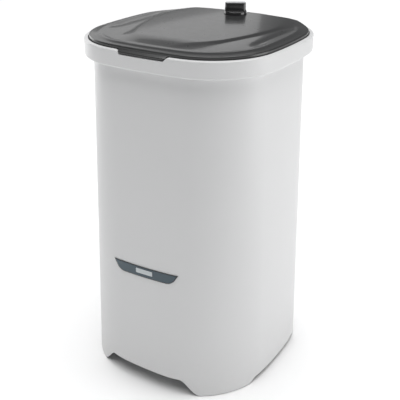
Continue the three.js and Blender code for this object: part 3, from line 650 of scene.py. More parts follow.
def lid_height(x, y, edge):
    """The lid's upper surface, with y from the lid's centre and edge from 0 in the middle to 1 at the rim."""
    side = np.abs(x)
    crease = 0.130 - 60 / 1000 * ((0.117 - y) / 0.245) ** 2
    lens = smooth(y, -0.150, -0.070) * smooth(-y, -0.150, -0.060)
    spread = 0.024 * (1 - lens)
    panel = smooth(-side, -crease - 0.009 - spread, -crease + 0.003 + spread)
    panel = panel * smooth(y, -0.168, -0.108) * smooth(-y, -0.176, -0.156)
    border = LID_EDGE_Z + LID_SKIRT + 0.0034 * (1 - edge**6)
    ridge = 0.0013 * np.exp(-(((edge - 0.905) / 0.030) ** 2))
    hollow = -0.0016 * np.exp(-(((side - 0.151) / 0.009) ** 2)) * smooth(-np.abs(y), -0.085, -0.045)
    centre = 0.6938 + 0.0006 * smooth(y, -0.150, 0.140) - 0.003 * (x / 0.120) ** 2
    rear_rim = 0.0036 * smooth(-side, -0.130, -0.030) * smooth(y, 0.160, 0.180)
    around = border + ridge + hollow + rear_rim
    return around + (centre - around) * panel


def lid_row(edge, inset=0.0, drop=0.0):
    ring = plan_ring(LID_PLAN, inset) - [0, AXIS_Y]
    points = ring * edge
    z = lid_height(points[:, 0], points[:, 1], edge) - drop
    return np.column_stack([points[:, 0], points[:, 1] + AXIS_Y, z])


lid_plastic = plastic("lid_plastic", (0.022, 0.0225, 0.023), 0.29, grain_size=700.0, grain_depth=0.015, cloud=0.25,
                      dust=0.0, coat=0.35)

lid_rows = [level_ring(plan_ring(LID_PLAN, inset), z) for inset, z in
            [(0.0, LID_EDGE_Z - SKIRT_DROP), (0.0, LID_EDGE_Z), (0.0, LID_EDGE_Z + 0.0022)]]
first_edge = lid_row(0.985)
skirt_top = lid_rows[-1]
for step in range(1, 6):
    t = step / 6
    corner = skirt_top.copy()
    corner[:, 2] = first_edge[:, 2] - 0.0001
    lid_rows.append(skirt_top * (1 - t) ** 2 + corner * 2 * t * (1 - t) + first_edge * t * t)
lid_rows += [lid_row(edge) for edge in np.linspace(0.985, 0.012, LID_ROWS)]
lid = sheet_of("lid_shell", lid_rows, cap_end=True)
thickened(lid, LID_WALL, edge_round=0.0004)

ear_slots = [
    block(f"ear_slot_{i}_{j}", (centre + offset - 0.0027, HINGE_Y - 0.017, DECK_Z),
          (centre + offset + 0.0027, HINGE_Y + 0.020, HINGE_Z + 0.005))
    for i, centre in enumerate(HINGE_CENTRES) for j, offset in enumerate((-EAR_OFFSET, EAR_OFFSET))
]
cut_away(lid, *ear_slots, solver="FAST")
stand_for(lid, lid_plastic, "lid_plastic", "lid", "lid_cover")

for side, centre in zip(("left", "right"), HINGE_CENTRES):
    barrel = rounded([(0.0017, -0.0122, 0), (0.0031, -0.0122, 0.0006), (0.0031, 0.0122, 0.0006), (0.0017, 0.0122, 0)], 3)
    knuckle = turned(f"lid_knuckle_{side}", barrel, 32, (centre, HINGE_Y, HINGE_Z), "X", loop=True)
    web = block(f"knuckle_web_{side}", (centre - 0.012, HINGE_Y - 0.005, HINGE_Z - 0.002),
                (centre + 0.012, HINGE_Y - 0.0022, HINGE_Z + 0.002))
    stand_for(web, lid_plastic, "lid_plastic", "lid", "lid_cover")
    stand_for(knuckle, lid_plastic, "lid_plastic", "lid", "lid_cover")


# ---- Lid lip --------------------------------------------------------------------------------
# The finger lip hangs from the front of the lid into the collar's notch. It is moulded with the
# lid, a little behind the lid's edge, and its ends slope like the notch's.

LIP_STEPS = 49


def collar_front_y(x, inset):
    radius = COLLAR_PLAN["side_radius"] - inset
    reach = COLLAR_PLAN["half_depth"] - COLLAR_PLAN["side_radius"] + np.sqrt(radius**2 - x**2)
    return AXIS_Y - reach


lip_path = rounded([
    (0.0112, LID_EDGE_Z + 0.0012, 0), (0.0112, LIP_BOTTOM, 0.0008), (0.0018, LIP_BOTTOM, 0.0016),
    (0.0018, RIM_Z - 0.0022, 0.002), (0.0092, LID_EDGE_Z + 0.0002, 0), (0.0092, LID_EDGE_Z + 0.0012, 0),
], steps=5)
lip_rows = []
for across in np.linspace(-1, 1, LIP_STEPS):
    row = []
    for inset, z in lip_path:
        half = LIP_HALF_BOTTOM + (LIP_HALF_TOP - LIP_HALF_BOTTOM) * (z - LIP_BOTTOM) / (RIM_Z + 0.0016 - LIP_BOTTOM)
        x = across * half
        row.append((x, collar_front_y(x, inset), z))
    lip_rows.append(row)
lip = tidy_mesh(sheet_of("lid_lip", lip_rows, cap_start=True, cap_end=True))
stand_for(lip, lid_plastic, "lid_plastic", "lid", "lid_cover")


# ---- Lid liner and seal ---------------------------------------------------------------------
# A white panel snaps into the lid from below, with a shallow bead round it and a cup at the back
# for the timer. A soft black seal hangs from it round the throat.

LINER_TOP = LID_EDGE_Z - 0.0004
LINER_BOTTOM = LID_EDGE_Z - 0.0036
POCKET_PLACE = (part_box("timer_cup")[0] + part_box("timer_cup")[1]) / 2
POCKET_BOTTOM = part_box("timer_cup")[0].z

inner_white = plastic("inner_white_plastic", (0.70, 0.705, 0.70), 0.42, grain_size=1200.0, grain_depth=0.06, cloud=0.08,
                      dust=0.0)
liner_path = rounded([
    (0.0, LINER_BOTTOM + 0.0006, 0), (0.0245, LINER_BOTTOM + 0.0006, 0.001), (0.0215, LINER_BOTTOM, 0.001),
    (0.0085, LINER_BOTTOM, 0.001), (0.0075, LINER_TOP, 0.0004), (0.026, LINER_TOP, 0),
], steps=4)
liner_rows = [level_ring(plan_ring(LID_PLAN, 0.0245) * [0.02, 0.02] + [0, AXIS_Y * 0.98], LINER_BOTTOM + 0.0006)]
liner_rows += [level_ring(plan_ring(LID_PLAN, inset), z) for inset, z in liner_path[1:]]
liner_rows += [level_ring(plan_ring(LID_PLAN, 0.0245) * [0.02, 0.02] + [0, AXIS_Y * 0.98], LINER_TOP)]
liner = tidy_mesh(sheet_of("lid_liner_panel", liner_rows, cap_start=True, cap_end=True))
liner_cuts = [
    block(f"liner_slot_{i}_{j}", (centre + offset - 0.0027, HINGE_Y - 0.017, DECK_Z),
          (centre + offset + 0.0027, HINGE_Y + 0.020, HINGE_Z + 0.005))
    for i, centre in enumerate(HINGE_CENTRES) for j, offset in enumerate((-EAR_OFFSET, EAR_OFFSET))
]
liner_cuts.append(turned("pocket_hole", [(0, -0.01), (0.0235, -0.01), (0.0235, 0.01), (0, 0.01)], 64,
                         (POCKET_PLACE.x, POCKET_PLACE.y, LINER_TOP)))
cut_away(liner, *liner_cuts)
stand_for(liner, inner_white, "white_plastic", "lid", "lid_liner")

pocket_path = rounded([
    (0, POCKET_BOTTOM, 0), (0.0245, POCKET_BOTTOM, 0.002), (0.0245, LINER_TOP, 0.0004), (0.0224, LINER_TOP, 0.0004),
    (0.0224, POCKET_BOTTOM + 0.002, 0.001), (0, POCKET_BOTTOM + 0.002, 0),
], steps=5)
pocket = turned("timer_pocket", pocket_path, 72, (POCKET_PLACE.x, POCKET_PLACE.y, 0))
stand_for(pocket, inner_white, "white_plastic", "lid", "timer_cup")

black_rubber = plastic("black_rubber", (0.018, 0.018, 0.018), 0.72, grain_size=2600.0, grain_depth=0.25, cloud=0.5,
                       dust=0.6, specular=0.3)
SEAL_LOW = DECK_Z - 0.0026
SEAL_HIGH = LID_EDGE_Z - 0.004
seal_path = rounded([
    (0.097, SEAL_HIGH, 0), (0.097, SEAL_HIGH - 0.003, 0.001), (0.0994, SEAL_LOW, 0.0006), (0.1006, SEAL_LOW, 0.0006),
    (0.103, SEAL_HIGH - 0.003, 0.001), (0.103, SEAL_HIGH, 0),
], steps=5)
seal = turned("throat_seal", seal_path, 160, (0, AXIS_Y, 0), loop=True)
stand_for(seal, black_rubber, "rubber", "lid", "lid_seal")


# ---- Timer knob -----------------------------------------------------------------------------
# A glossy black moulding: a round skirt with a broad upright grip across it, pressed on the
# timer's spindle. A thin light grey strip is let into the top of the grip.

KNOB_X, KNOB_Y = (POCKET_PLACE.x, POCKET_PLACE.y)
KNOB_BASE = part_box("timer_knob")[0].z
KNOB_SKIRT = 0.005
KNOB_HEIGHT = 0.0205
KNOB_RADIUS = 0.0235
GRIP_LENGTH = 0.043
GRIP_WIDTH = 0.015
KNOB_TURN = math.radians(32)
GRIP_STEPS = 20


def stadium(inset, z):
    """A ring round the grip's plan: two straight sides and two half circles."""
    half = (GRIP_LENGTH - GRIP_WIDTH) / 2
    radius = GRIP_WIDTH / 2 - inset
    right = [(half + radius * math.cos(a), radius * math.sin(a))
             for a in np.linspace(-math.pi / 2, math.pi / 2, GRIP_STEPS)]
    left = [(-px, -py) for px, py in right]
    return [(px, py, z) for px, py in right + left]


def on_spindle(piece):
    piece.data.transform(Matrix.Translation((KNOB_X, KNOB_Y, KNOB_BASE)) @ Matrix.Rotation(KNOB_TURN, 4, "Z"))
    return piece


knob_plastic = plastic("knob_plastic", (0.010, 0.010, 0.011), 0.20, grain_size=900.0, grain_depth=0.01, cloud=0.3,
                       dust=0.0, coat=0.8)
knob_skirt_path = rounded([
    (0, 0, 0), (KNOB_RADIUS, 0, 0.0004), (KNOB_RADIUS - 0.0012, KNOB_SKIRT, 0.0016), (0, KNOB_SKIRT, 0),
], steps=6)
knob_skirt = on_spindle(turned("knob_skirt", knob_skirt_path, 96))
stand_for(knob_skirt, knob_plastic, "black_plastic", "timer_knob", "timer_knob")
grip_path = rounded([
    (-0.0010, KNOB_SKIRT - 0.001, 0), (0.0002, KNOB_SKIRT + 0.002, 0.003), (0.0006, KNOB_HEIGHT, 0.0012),
    (0.0018, KNOB_HEIGHT, 0),
], steps=5)
grip_rows = [stadium(inset, z) for inset, z in grip_path]
grip = on_spindle(tidy_mesh(sheet_of("knob_grip", grip_rows, cap_start=True, cap_end=True)))
stand_for(grip, knob_plastic, "black_plastic", "timer_knob", "timer_knob")

strip_plastic = plastic("strip_plastic", (0.40, 0.41, 0.42), 0.3, grain_size=1500.0, grain_depth=0.03, cloud=0.2,
                        dust=0.0, coat=0.3)
strip_path = rounded([
    (0.0013, KNOB_HEIGHT - 0.0002, 0), (0.0013, KNOB_HEIGHT + 0.0010, 0.0005), (0.003, KNOB_HEIGHT + 0.0011, 0),
], steps=4)
strip = on_spindle(tidy_mesh(sheet_of("knob_strip", [stadium(inset, z) for inset, z in strip_path],
                                      cap_start=True, cap_end=True)))
stand_for(strip, strip_plastic, "grey_plastic", "timer_knob", "knob_inlay")


# ---- Base tray and feet ---------------------------------------------------------------------
# A grey tray closes the cabinet's foot. Slots let air to the motor, and a tapered leg at each
# corner carries a ribbed rubber foot.

TRAY_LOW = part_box("base_tray")[1].z - 0.004
TRAY_THICKNESS = 0.004
TRAY_INSET = WALL + 0.0008
FOOT_PLACES = [(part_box(f"rubber_foot_{end}_{side}")[0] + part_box(f"rubber_foot_{end}_{side}")[1]) / 2
               for end in ("front", "rear") for side in ("left", "right")]

grey_plastic = plastic("grey_plastic", (0.40, 0.41, 0.42), 0.45, grain_size=1100.0, grain_depth=0.08, cloud=0.15, dust=0.5)
tray_ring = plan_ring(cabinet_plan(TRAY_LOW), TRAY_INSET)
tray_path = rounded([(0.02, 0.0, 0), (0.0, 0.0, 0.001), (0.0, TRAY_THICKNESS, 0.0006), (0.02, TRAY_THICKNESS, 0)], 4)
tray_rows = [level_ring(tray_ring * 0.05, TRAY_LOW)]
tray_rows += [level_ring(plan_ring(cabinet_plan(TRAY_LOW), TRAY_INSET + inset), TRAY_LOW + z) for inset, z in tray_path]
tray_rows += [level_ring(tray_ring * 0.05, TRAY_LOW + TRAY_THICKNESS)]
tray = tidy_mesh(sheet_of("base_tray_plate", tray_rows, cap_start=True, cap_end=True))
SLOT_COUNT = 8
air_slots = []
for i in range(SLOT_COUNT):
    slot = block(f"air_slot_{i}", (0.050, -0.004, -0.004), (0.088, 0.004, 0.012))
    turn = Matrix.Rotation((i + 0.5) * 2 * math.pi / SLOT_COUNT, 4, "Z")
    slot.data.transform(Matrix.Translation((0, AXIS_Y, TRAY_LOW)) @ turn)
    air_slots.append(slot)
cut_away(tray, *air_slots)
stand_for(tray, grey_plastic, "grey_plastic", "cabinet", "base_tray")

leg_path = rounded([(0, 0.0095, 0), (0.015, 0.0095, 0.001), (0.020, TRAY_LOW, 0), (0.0, TRAY_LOW + 0.001, 0)], 4)
foot_path = rounded([
    (0, 0, 0), (0.015, 0, 0.0012), (0.017, 0.002, 0.0012), (0.0158, 0.0052, 0.0005), (0.0162, 0.0058, 0.0005),
    (0.0148, 0.0078, 0.0005), (0.014, 0.0091, 0.0006), (0, 0.0091, 0),
], steps=4)
for place_at, name in zip(FOOT_PLACES, ("front_left", "front_right", "rear_left", "rear_right")):
    leg = turned(f"tray_leg_{name}", leg_path, 64, (place_at.x, place_at.y, 0))
    stand_for(leg, grey_plastic, "grey_plastic", "cabinet", "base_tray")
    foot = turned(f"rubber_pad_{name}", foot_path, 72, (place_at.x, place_at.y, 0))
    stand_for(foot, black_rubber, "rubber", "cabinet", f"rubber_foot_{name}")


# ---- Drain spout and cord inlet -------------------------------------------------------------
# Both leave the rear wall low down. The spout is a grey flanged tube for a hose or a jug, and the
# inlet is a rubber grommet with grooves that hold the wall and the lead.

drain_low, drain_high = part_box("drain_spout")
drain_centre = (drain_low + drain_high) / 2
drain_end = drain_high.y
drain_path = rounded([
    (0.009, -0.0364, 0), (0.013, -0.0364, 0.0008), (0.013, -0.0048, 0.0002), (0.021, -0.0048, 0.0006),
    (0.021, -0.0024, 0.0009), (0.0127, -0.0024, 0.0006), (0.0120, 0.0, 0.0008), (0.009, 0.0, 0.0005), (0.009, -0.02, 0),
], steps=5)
spout = turned("drain_tube", drain_path, 72, (drain_centre.x, drain_end, drain_centre.z), "Y", loop=True)
stand_for(spout, grey_plastic, "grey_plastic", "cabinet", "drain_spout")

inlet_low, inlet_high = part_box("cord_inlet")
inlet_centre = (inlet_low + inlet_high) / 2
inlet_path = rounded([
    (0.004, -0.017, 0), (0.009, -0.017, 0.0008), (0.009, -0.0056, 0.0002), (0.0125, -0.0056, 0.0008),
    (0.0125, -0.0030, 0.0010), (0.0102, -0.0024, 0.0004), (0.0092, -0.0012, 0.0004), (0.0080, -0.0010, 0.0003),
    (0.007, 0.0, 0.0008), (0.004, 0.0, 0.0006), (0.004, -0.008, 0),
], steps=4)
grommet = turned("inlet_grommet", inlet_path, 72, (inlet_centre.x, inlet_high.y, inlet_centre.z), "Y", loop=True)
stand_for(grommet, black_rubber, "rubber", "cabinet", "cord_inlet")


# ---- Hinges and screws ----------------------------------------------------------------------
# Two zinc-plated brackets are screwed to the deck. Their ears reach over the rim and hold a
# steel pin that runs through the lid's knuckle. Pan-head screws also hold the liner and the tray.

HINGE_REACH = 0.017


def worked_metal_group():
    """Fine parallel lines along one direction, a cloudy tarnish, and a matching change of gloss."""
    group = node_group(
        "worked_metal",
        [("Colour", "NodeSocketColor", (0.6, 0.6, 0.6, 1)), ("Roughness", "NodeSocketFloat", 0.35),
         ("Stretch", "NodeSocketVector", (40.0, 40.0, 900.0)), ("Line Depth", "NodeSocketFloat", 0.1),
         ("Tarnish", "NodeSocketFloat", 0.3)],
        [("Colour", "NodeSocketColor"), ("Roughness", "NodeSocketFloat"), ("Normal", "NodeSocketVector")],
    )
    link = group.links.new
    given = group.nodes.new("NodeGroupInput")
    result = group.nodes.new("NodeGroupOutput")
    place_on = place(group, "ShaderNodeTexCoord").outputs["Object"]
    stretched = place(group, "ShaderNodeVectorMath", operation="MULTIPLY")
    link(place_on, stretched.inputs[0])
    link(given.outputs["Stretch"], stretched.inputs[1])
    lines = place(group, "ShaderNodeTexNoise", Scale=1.0, Detail=3.0)
    link(stretched.outputs["Vector"], lines.inputs["Vector"])
    bump = place(group, "ShaderNodeBump", Distance=0.0002)
    link(lines.outputs["Fac"], bump.inputs["Height"])
    link(given.outputs["Line Depth"], bump.inputs["Strength"])
    link(bump.outputs["Normal"], result.inputs["Normal"])
    stains = place(group, "ShaderNodeTexNoise", Scale=35.0, Detail=5.0)
    link(place_on, stains.inputs["Vector"])
    amount = place(group, "ShaderNodeMath", operation="MULTIPLY")
    link(stains.outputs["Fac"], amount.inputs[0])
    link(given.outputs["Tarnish"], amount.inputs[1])
    toned = place(group, "ShaderNodeMix", data_type="RGBA", blend_type="MULTIPLY")
    link(amount.outputs["Value"], toned.inputs[0])
    link(given.outputs["Colour"], toned.inputs[6])
    toned.inputs[7].default_value = (0.50, 0.47, 0.43, 1)
    link(toned.outputs[2], result.inputs["Colour"])
    spread = place(group, "ShaderNodeMath", operation="MULTIPLY_ADD")
    link(lines.outputs["Fac"], spread.inputs[0])
    spread.inputs[1].default_value = 0.12
    link(given.outputs["Roughness"], spread.inputs[2])
    link(spread.outputs["Value"], result.inputs["Roughness"])
    return group


WORKED = worked_metal_group()


def metal(name, colour, roughness, stretch=(300.0, 300.0, 300.0), line_depth=0.08, tarnish=0.3, metallic=1.0):
    values = {"Colour": (*colour, 1), "Roughness": roughness, "Stretch": stretch, "Line Depth": line_depth,
              "Tarnish": tarnish}
    return surface(name, WORKED, values, metallic=metallic)


zinc_steel = metal("zinc_steel", (0.62, 0.63, 0.64), 0.30, tarnish=0.4)


def pan_head_tree(material):
    """Puts a cross-recessed pan-head screw on each vertex, pointing along +Z or -Z."""
    tree = bpy.data.node_groups.new("pan_head_screws", "GeometryNodeTree")
    tree.interface.new_socket("Geometry", in_out="INPUT", socket_type="NodeSocketGeometry")
    for label, value in (("Head Radius", 0.0035), ("Head Height", 0.0016), ("Upside Down", 0.0)):
        socket = tree.interface.new_socket(label, in_out="INPUT", socket_type="NodeSocketFloat")
        socket.default_value = value
    tree.interface.new_socket("Geometry", in_out="OUTPUT", socket_type="NodeSocketGeometry")
    link = tree.links.new
    given = tree.nodes.new("NodeGroupInput")
    result = tree.nodes.new("NodeGroupOutput")
    head = tree.nodes.new("GeometryNodeMeshCylinder")
    head.fill_type = "TRIANGLE_FAN"
    head.inputs["Vertices"].default_value = 24
    head.inputs["Fill Segments"].default_value = 4
    link(given.outputs["Head Radius"], head.inputs["Radius"])
    link(given.outputs["Head Height"], head.inputs["Depth"])

    position = tree.nodes.new("GeometryNodeInputPosition")
    parts = tree.nodes.new("ShaderNodeSeparateXYZ")
    link(position.outputs["Position"], parts.inputs["Vector"])
    flat = tree.nodes.new("ShaderNodeCombineXYZ")
    link(parts.outputs["X"], flat.inputs["X"])
    link(parts.outputs["Y"], flat.inputs["Y"])
    reach = tree.nodes.new("ShaderNodeVectorMath")
    reach.operation = "LENGTH"
    link(flat.outputs["Vector"], reach.inputs[0])
    ratio = tree.nodes.new("ShaderNodeMath")
    ratio.operation = "DIVIDE"
    link(reach.outputs["Value"], ratio.inputs[0])
    link(given.outputs["Head Radius"], ratio.inputs[1])
    squared = tree.nodes.new("ShaderNodeMath")
    squared.operation = "POWER"
    link(ratio.outputs["Value"], squared.inputs[0])
    squared.inputs[1].default_value = 3.0
    fall = tree.nodes.new("ShaderNodeMath")
    fall.operation = "MULTIPLY"
    link(squared.outputs["Value"], fall.inputs[0])
    link(given.outputs["Head Height"], fall.inputs[1])
    drop = tree.nodes.new("ShaderNodeMath")
    drop.operation = "MULTIPLY"
    link(fall.outputs["Value"], drop.inputs[0])
    drop.inputs[1].default_value = -0.6
    offset = tree.nodes.new("ShaderNodeCombineXYZ")
    link(drop.outputs["Value"], offset.inputs["Z"])
    upper = tree.nodes.new("FunctionNodeCompare")
    link(parts.outputs["Z"], upper.inputs["A"])
    upper.inputs["B"].default_value = 0.0
    domed = tree.nodes.new("GeometryNodeSetPosition")
    link(head.outputs["Mesh"], domed.inputs["Geometry"])
    link(upper.outputs["Result"], domed.inputs["Selection"])
    link(offset.outputs["Vector"], domed.inputs["Offset"])

    recess = tree.nodes.new("GeometryNodeMeshBoolean")
    recess.operation = "DIFFERENCE"
    link(domed.outputs["Geometry"], recess.inputs["Mesh 1"])
    for size in ((0.0042, 0.0009, 0.0012), (0.0009, 0.0042, 0.0012)):
        bar = tree.nodes.new("GeometryNodeMeshCube")
        bar.inputs["Size"].default_value = size
        raised = tree.nodes.new("GeometryNodeTransform")
        raised.inputs["Translation"].default_value = (0, 0, 0.0009)
        link(bar.outputs["Mesh"], raised.inputs["Geometry"])
        link(raised.outputs["Geometry"], recess.inputs["Mesh 2"])

    turn = tree.nodes.new("ShaderNodeMath")
    turn.operation = "MULTIPLY"
    link(given.outputs["Upside Down"], turn.inputs[0])
    turn.inputs[1].default_value = math.pi
    rotation = tree.nodes.new("ShaderNodeCombineXYZ")
    link(turn.outputs["Value"], rotation.inputs["X"])
    spots = tree.nodes.new("GeometryNodeInstanceOnPoints")
    link(given.outputs["Geometry"], spots.inputs["Points"])
    link(recess.outputs["Mesh"], spots.inputs["Instance"])
    link(rotation.outputs["Vector"], spots.inputs["Rotation"])
    real = tree.nodes.new("GeometryNodeRealizeInstances")
    link(spots.outputs["Instances"], real.inputs["Geometry"])
    dressed = tree.nodes.new("GeometryNodeSetMaterial")
    dressed.inputs["Material"].default_value = material
    link(real.outputs["Geometry"], dressed.inputs["Geometry"])
    link(dressed.outputs["Geometry"], result.inputs["Geometry"])
    return tree


PAN_HEADS = pan_head_tree(zinc_steel)


def screws(name, places, upside_down, body, radius=0.0035, height=0.0016):
    """A row of pan-head screws at the given places, made by the screw tree."""
    points = bpy.data.meshes.new(name)
    points.from_pydata(places, [], [])
    row = bpy.data.objects.new(name, points)
    bpy.context.scene.collection.objects.link(row)
    maker = row.modifiers.new("screws", "NODES")
    maker.node_group = PAN_HEADS
    sockets = {item.name: item.identifier for item in PAN_HEADS.interface.items_tree if item.in_out == "INPUT"}
    maker[sockets["Head Radius"]] = radius
    maker[sockets["Head Height"]] = height
    maker[sockets["Upside Down"]] = 1.0 if upside_down else 0.0
    settled(row)
    return stand_for(row, zinc_steel, "steel", body)


def bracket_ear(name, x):
    """A gooseneck from the deck over the rim, seen from the side as an outline in y and z."""
    outline = rounded([
        (HINGE_Y - 0.0155, DECK_Z + 0.0003, 0), (HINGE_Y - 0.0092, DECK_Z + 0.0003, 0),
        (HINGE_Y - 0.0092, RIM_Z - 0.0035, 0.002), (HINGE_Y - 0.0045, RIM_Z + 0.0005, 0.002),
        (HINGE_Y + 0.003, RIM_Z + 0.0005, 0.002), (HINGE_Y + 0.003, RIM_Z + 0.0064, 0.002),
        (HINGE_Y - 0.004, RIM_Z + 0.0064, 0.003), (HINGE_Y - 0.0155, RIM_Z - 0.001, 0.003),
    ], steps=5)
    rows = [[(x + side, y, z) for y, z in outline] for side in (-0.002, 0.002)]
    ear = tidy_mesh(sheet_of(name, rows, cap_start=True, cap_end=True))
    bevel = ear.modifiers.new("edges", "BEVEL")
    bevel.width = 0.0003
    bevel.segments = 2
    bevel.limit_method = "ANGLE"
    return settled(ear)


for side, centre in zip(("left", "right"), HINGE_CENTRES):
    node = f"hinge_bracket_{side}"
    foot_plate = block(f"bracket_foot_{side}", (centre - HINGE_REACH, HINGE_Y - 0.026, DECK_Z + 0.0003),
                       (centre + HINGE_REACH, HINGE_Y - 0.0092, DECK_Z + 0.0023), 0.0005)
    stand_for(foot_plate, zinc_steel, "steel", "cabinet", node)
    for hand, offset in (("a", -EAR_OFFSET), ("b", EAR_OFFSET)):
        ear = bracket_ear(f"bracket_ear_{side}_{hand}", centre + offset)
        stand_for(ear, zinc_steel, "steel", "cabinet", node)
    pin_path = rounded([(0, -HINGE_REACH, 0), (0.00125, -HINGE_REACH, 0.0004), (0.00125, HINGE_REACH, 0.0004),
                        (0, HINGE_REACH, 0)], 3)
    pin = turned(f"pin_{side}", pin_path, 24, (centre, HINGE_Y, HINGE_Z), "X")
    stand_for(pin, zinc_steel, "steel", "cabinet", f"hinge_pin_{side}")
screws("bracket_screws", [(centre + offset, HINGE_Y - 0.0205, DECK_Z + 0.0030)
                          for centre in HINGE_CENTRES for offset in (-0.007, 0.007)], False, "cabinet")
liner_screw_ring = plan_ring(LID_PLAN, 0.015)
screws("liner_screws", [(*liner_screw_ring[i], LINER_BOTTOM - 0.0003) for i in range(30, 480, 60)],
       True, "lid", radius=0.003, height=0.0012)
tray_screw_ring = plan_ring(cabinet_plan(TRAY_LOW), TRAY_INSET + 0.012)
screws("tray_screws", [(*tray_screw_ring[i], TRAY_LOW - 0.0006) for i in range(0, 480, 60)], True, "cabinet")


# ---- Lid switch plunger ---------------------------------------------------------------------
# A small grey pin stands up through the deck. The closed lid keeps it down.

plunger_low, plunger_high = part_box("lid_switch_plunger")
plunger_path = rounded([(0, plunger_low.z, 0), (0.0024, plunger_low.z, 0.0005), (0.0024, plunger_high.z, 0.0012),
                        (0, plunger_high.z, 0)], 5)
plunger = turned("switch_pin", plunger_path, 40, (SWITCH_PLACE.x, SWITCH_PLACE.y, 0))
stand_for(plunger, grey_plastic, "grey_plastic", "switch_plunger", "lid_switch_plunger")


# ---- Basket ---------------------------------------------------------------------------------
# The basket is rolled from stainless sheet, with rows of punched drain holes, a pressed floor and
# an upper flange. A white balance ring is clamped on its mouth, and a cap covers the shaft nut.

BASKET_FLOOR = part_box("basket_floor")[0].z
BASKET_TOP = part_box("basket_flange")[1].z
BASKET_RADIUS = 0.145
BASKET_WALL = 0.0012
MOUTH_RADIUS = 0.112
HOLE_COLUMNS = 72
HOLE_ROWS = 22
HOLE_PITCH = 0.014
HOLE_RADIUS = 0.0026
BAND_LOW = BASKET_FLOOR + 0.028

stainless = metal("stainless_steel", (0.66, 0.665, 0.67), 0.24, stretch=(60.0, 60.0, 1500.0), line_depth=0.10,
                  tarnish=0.12)


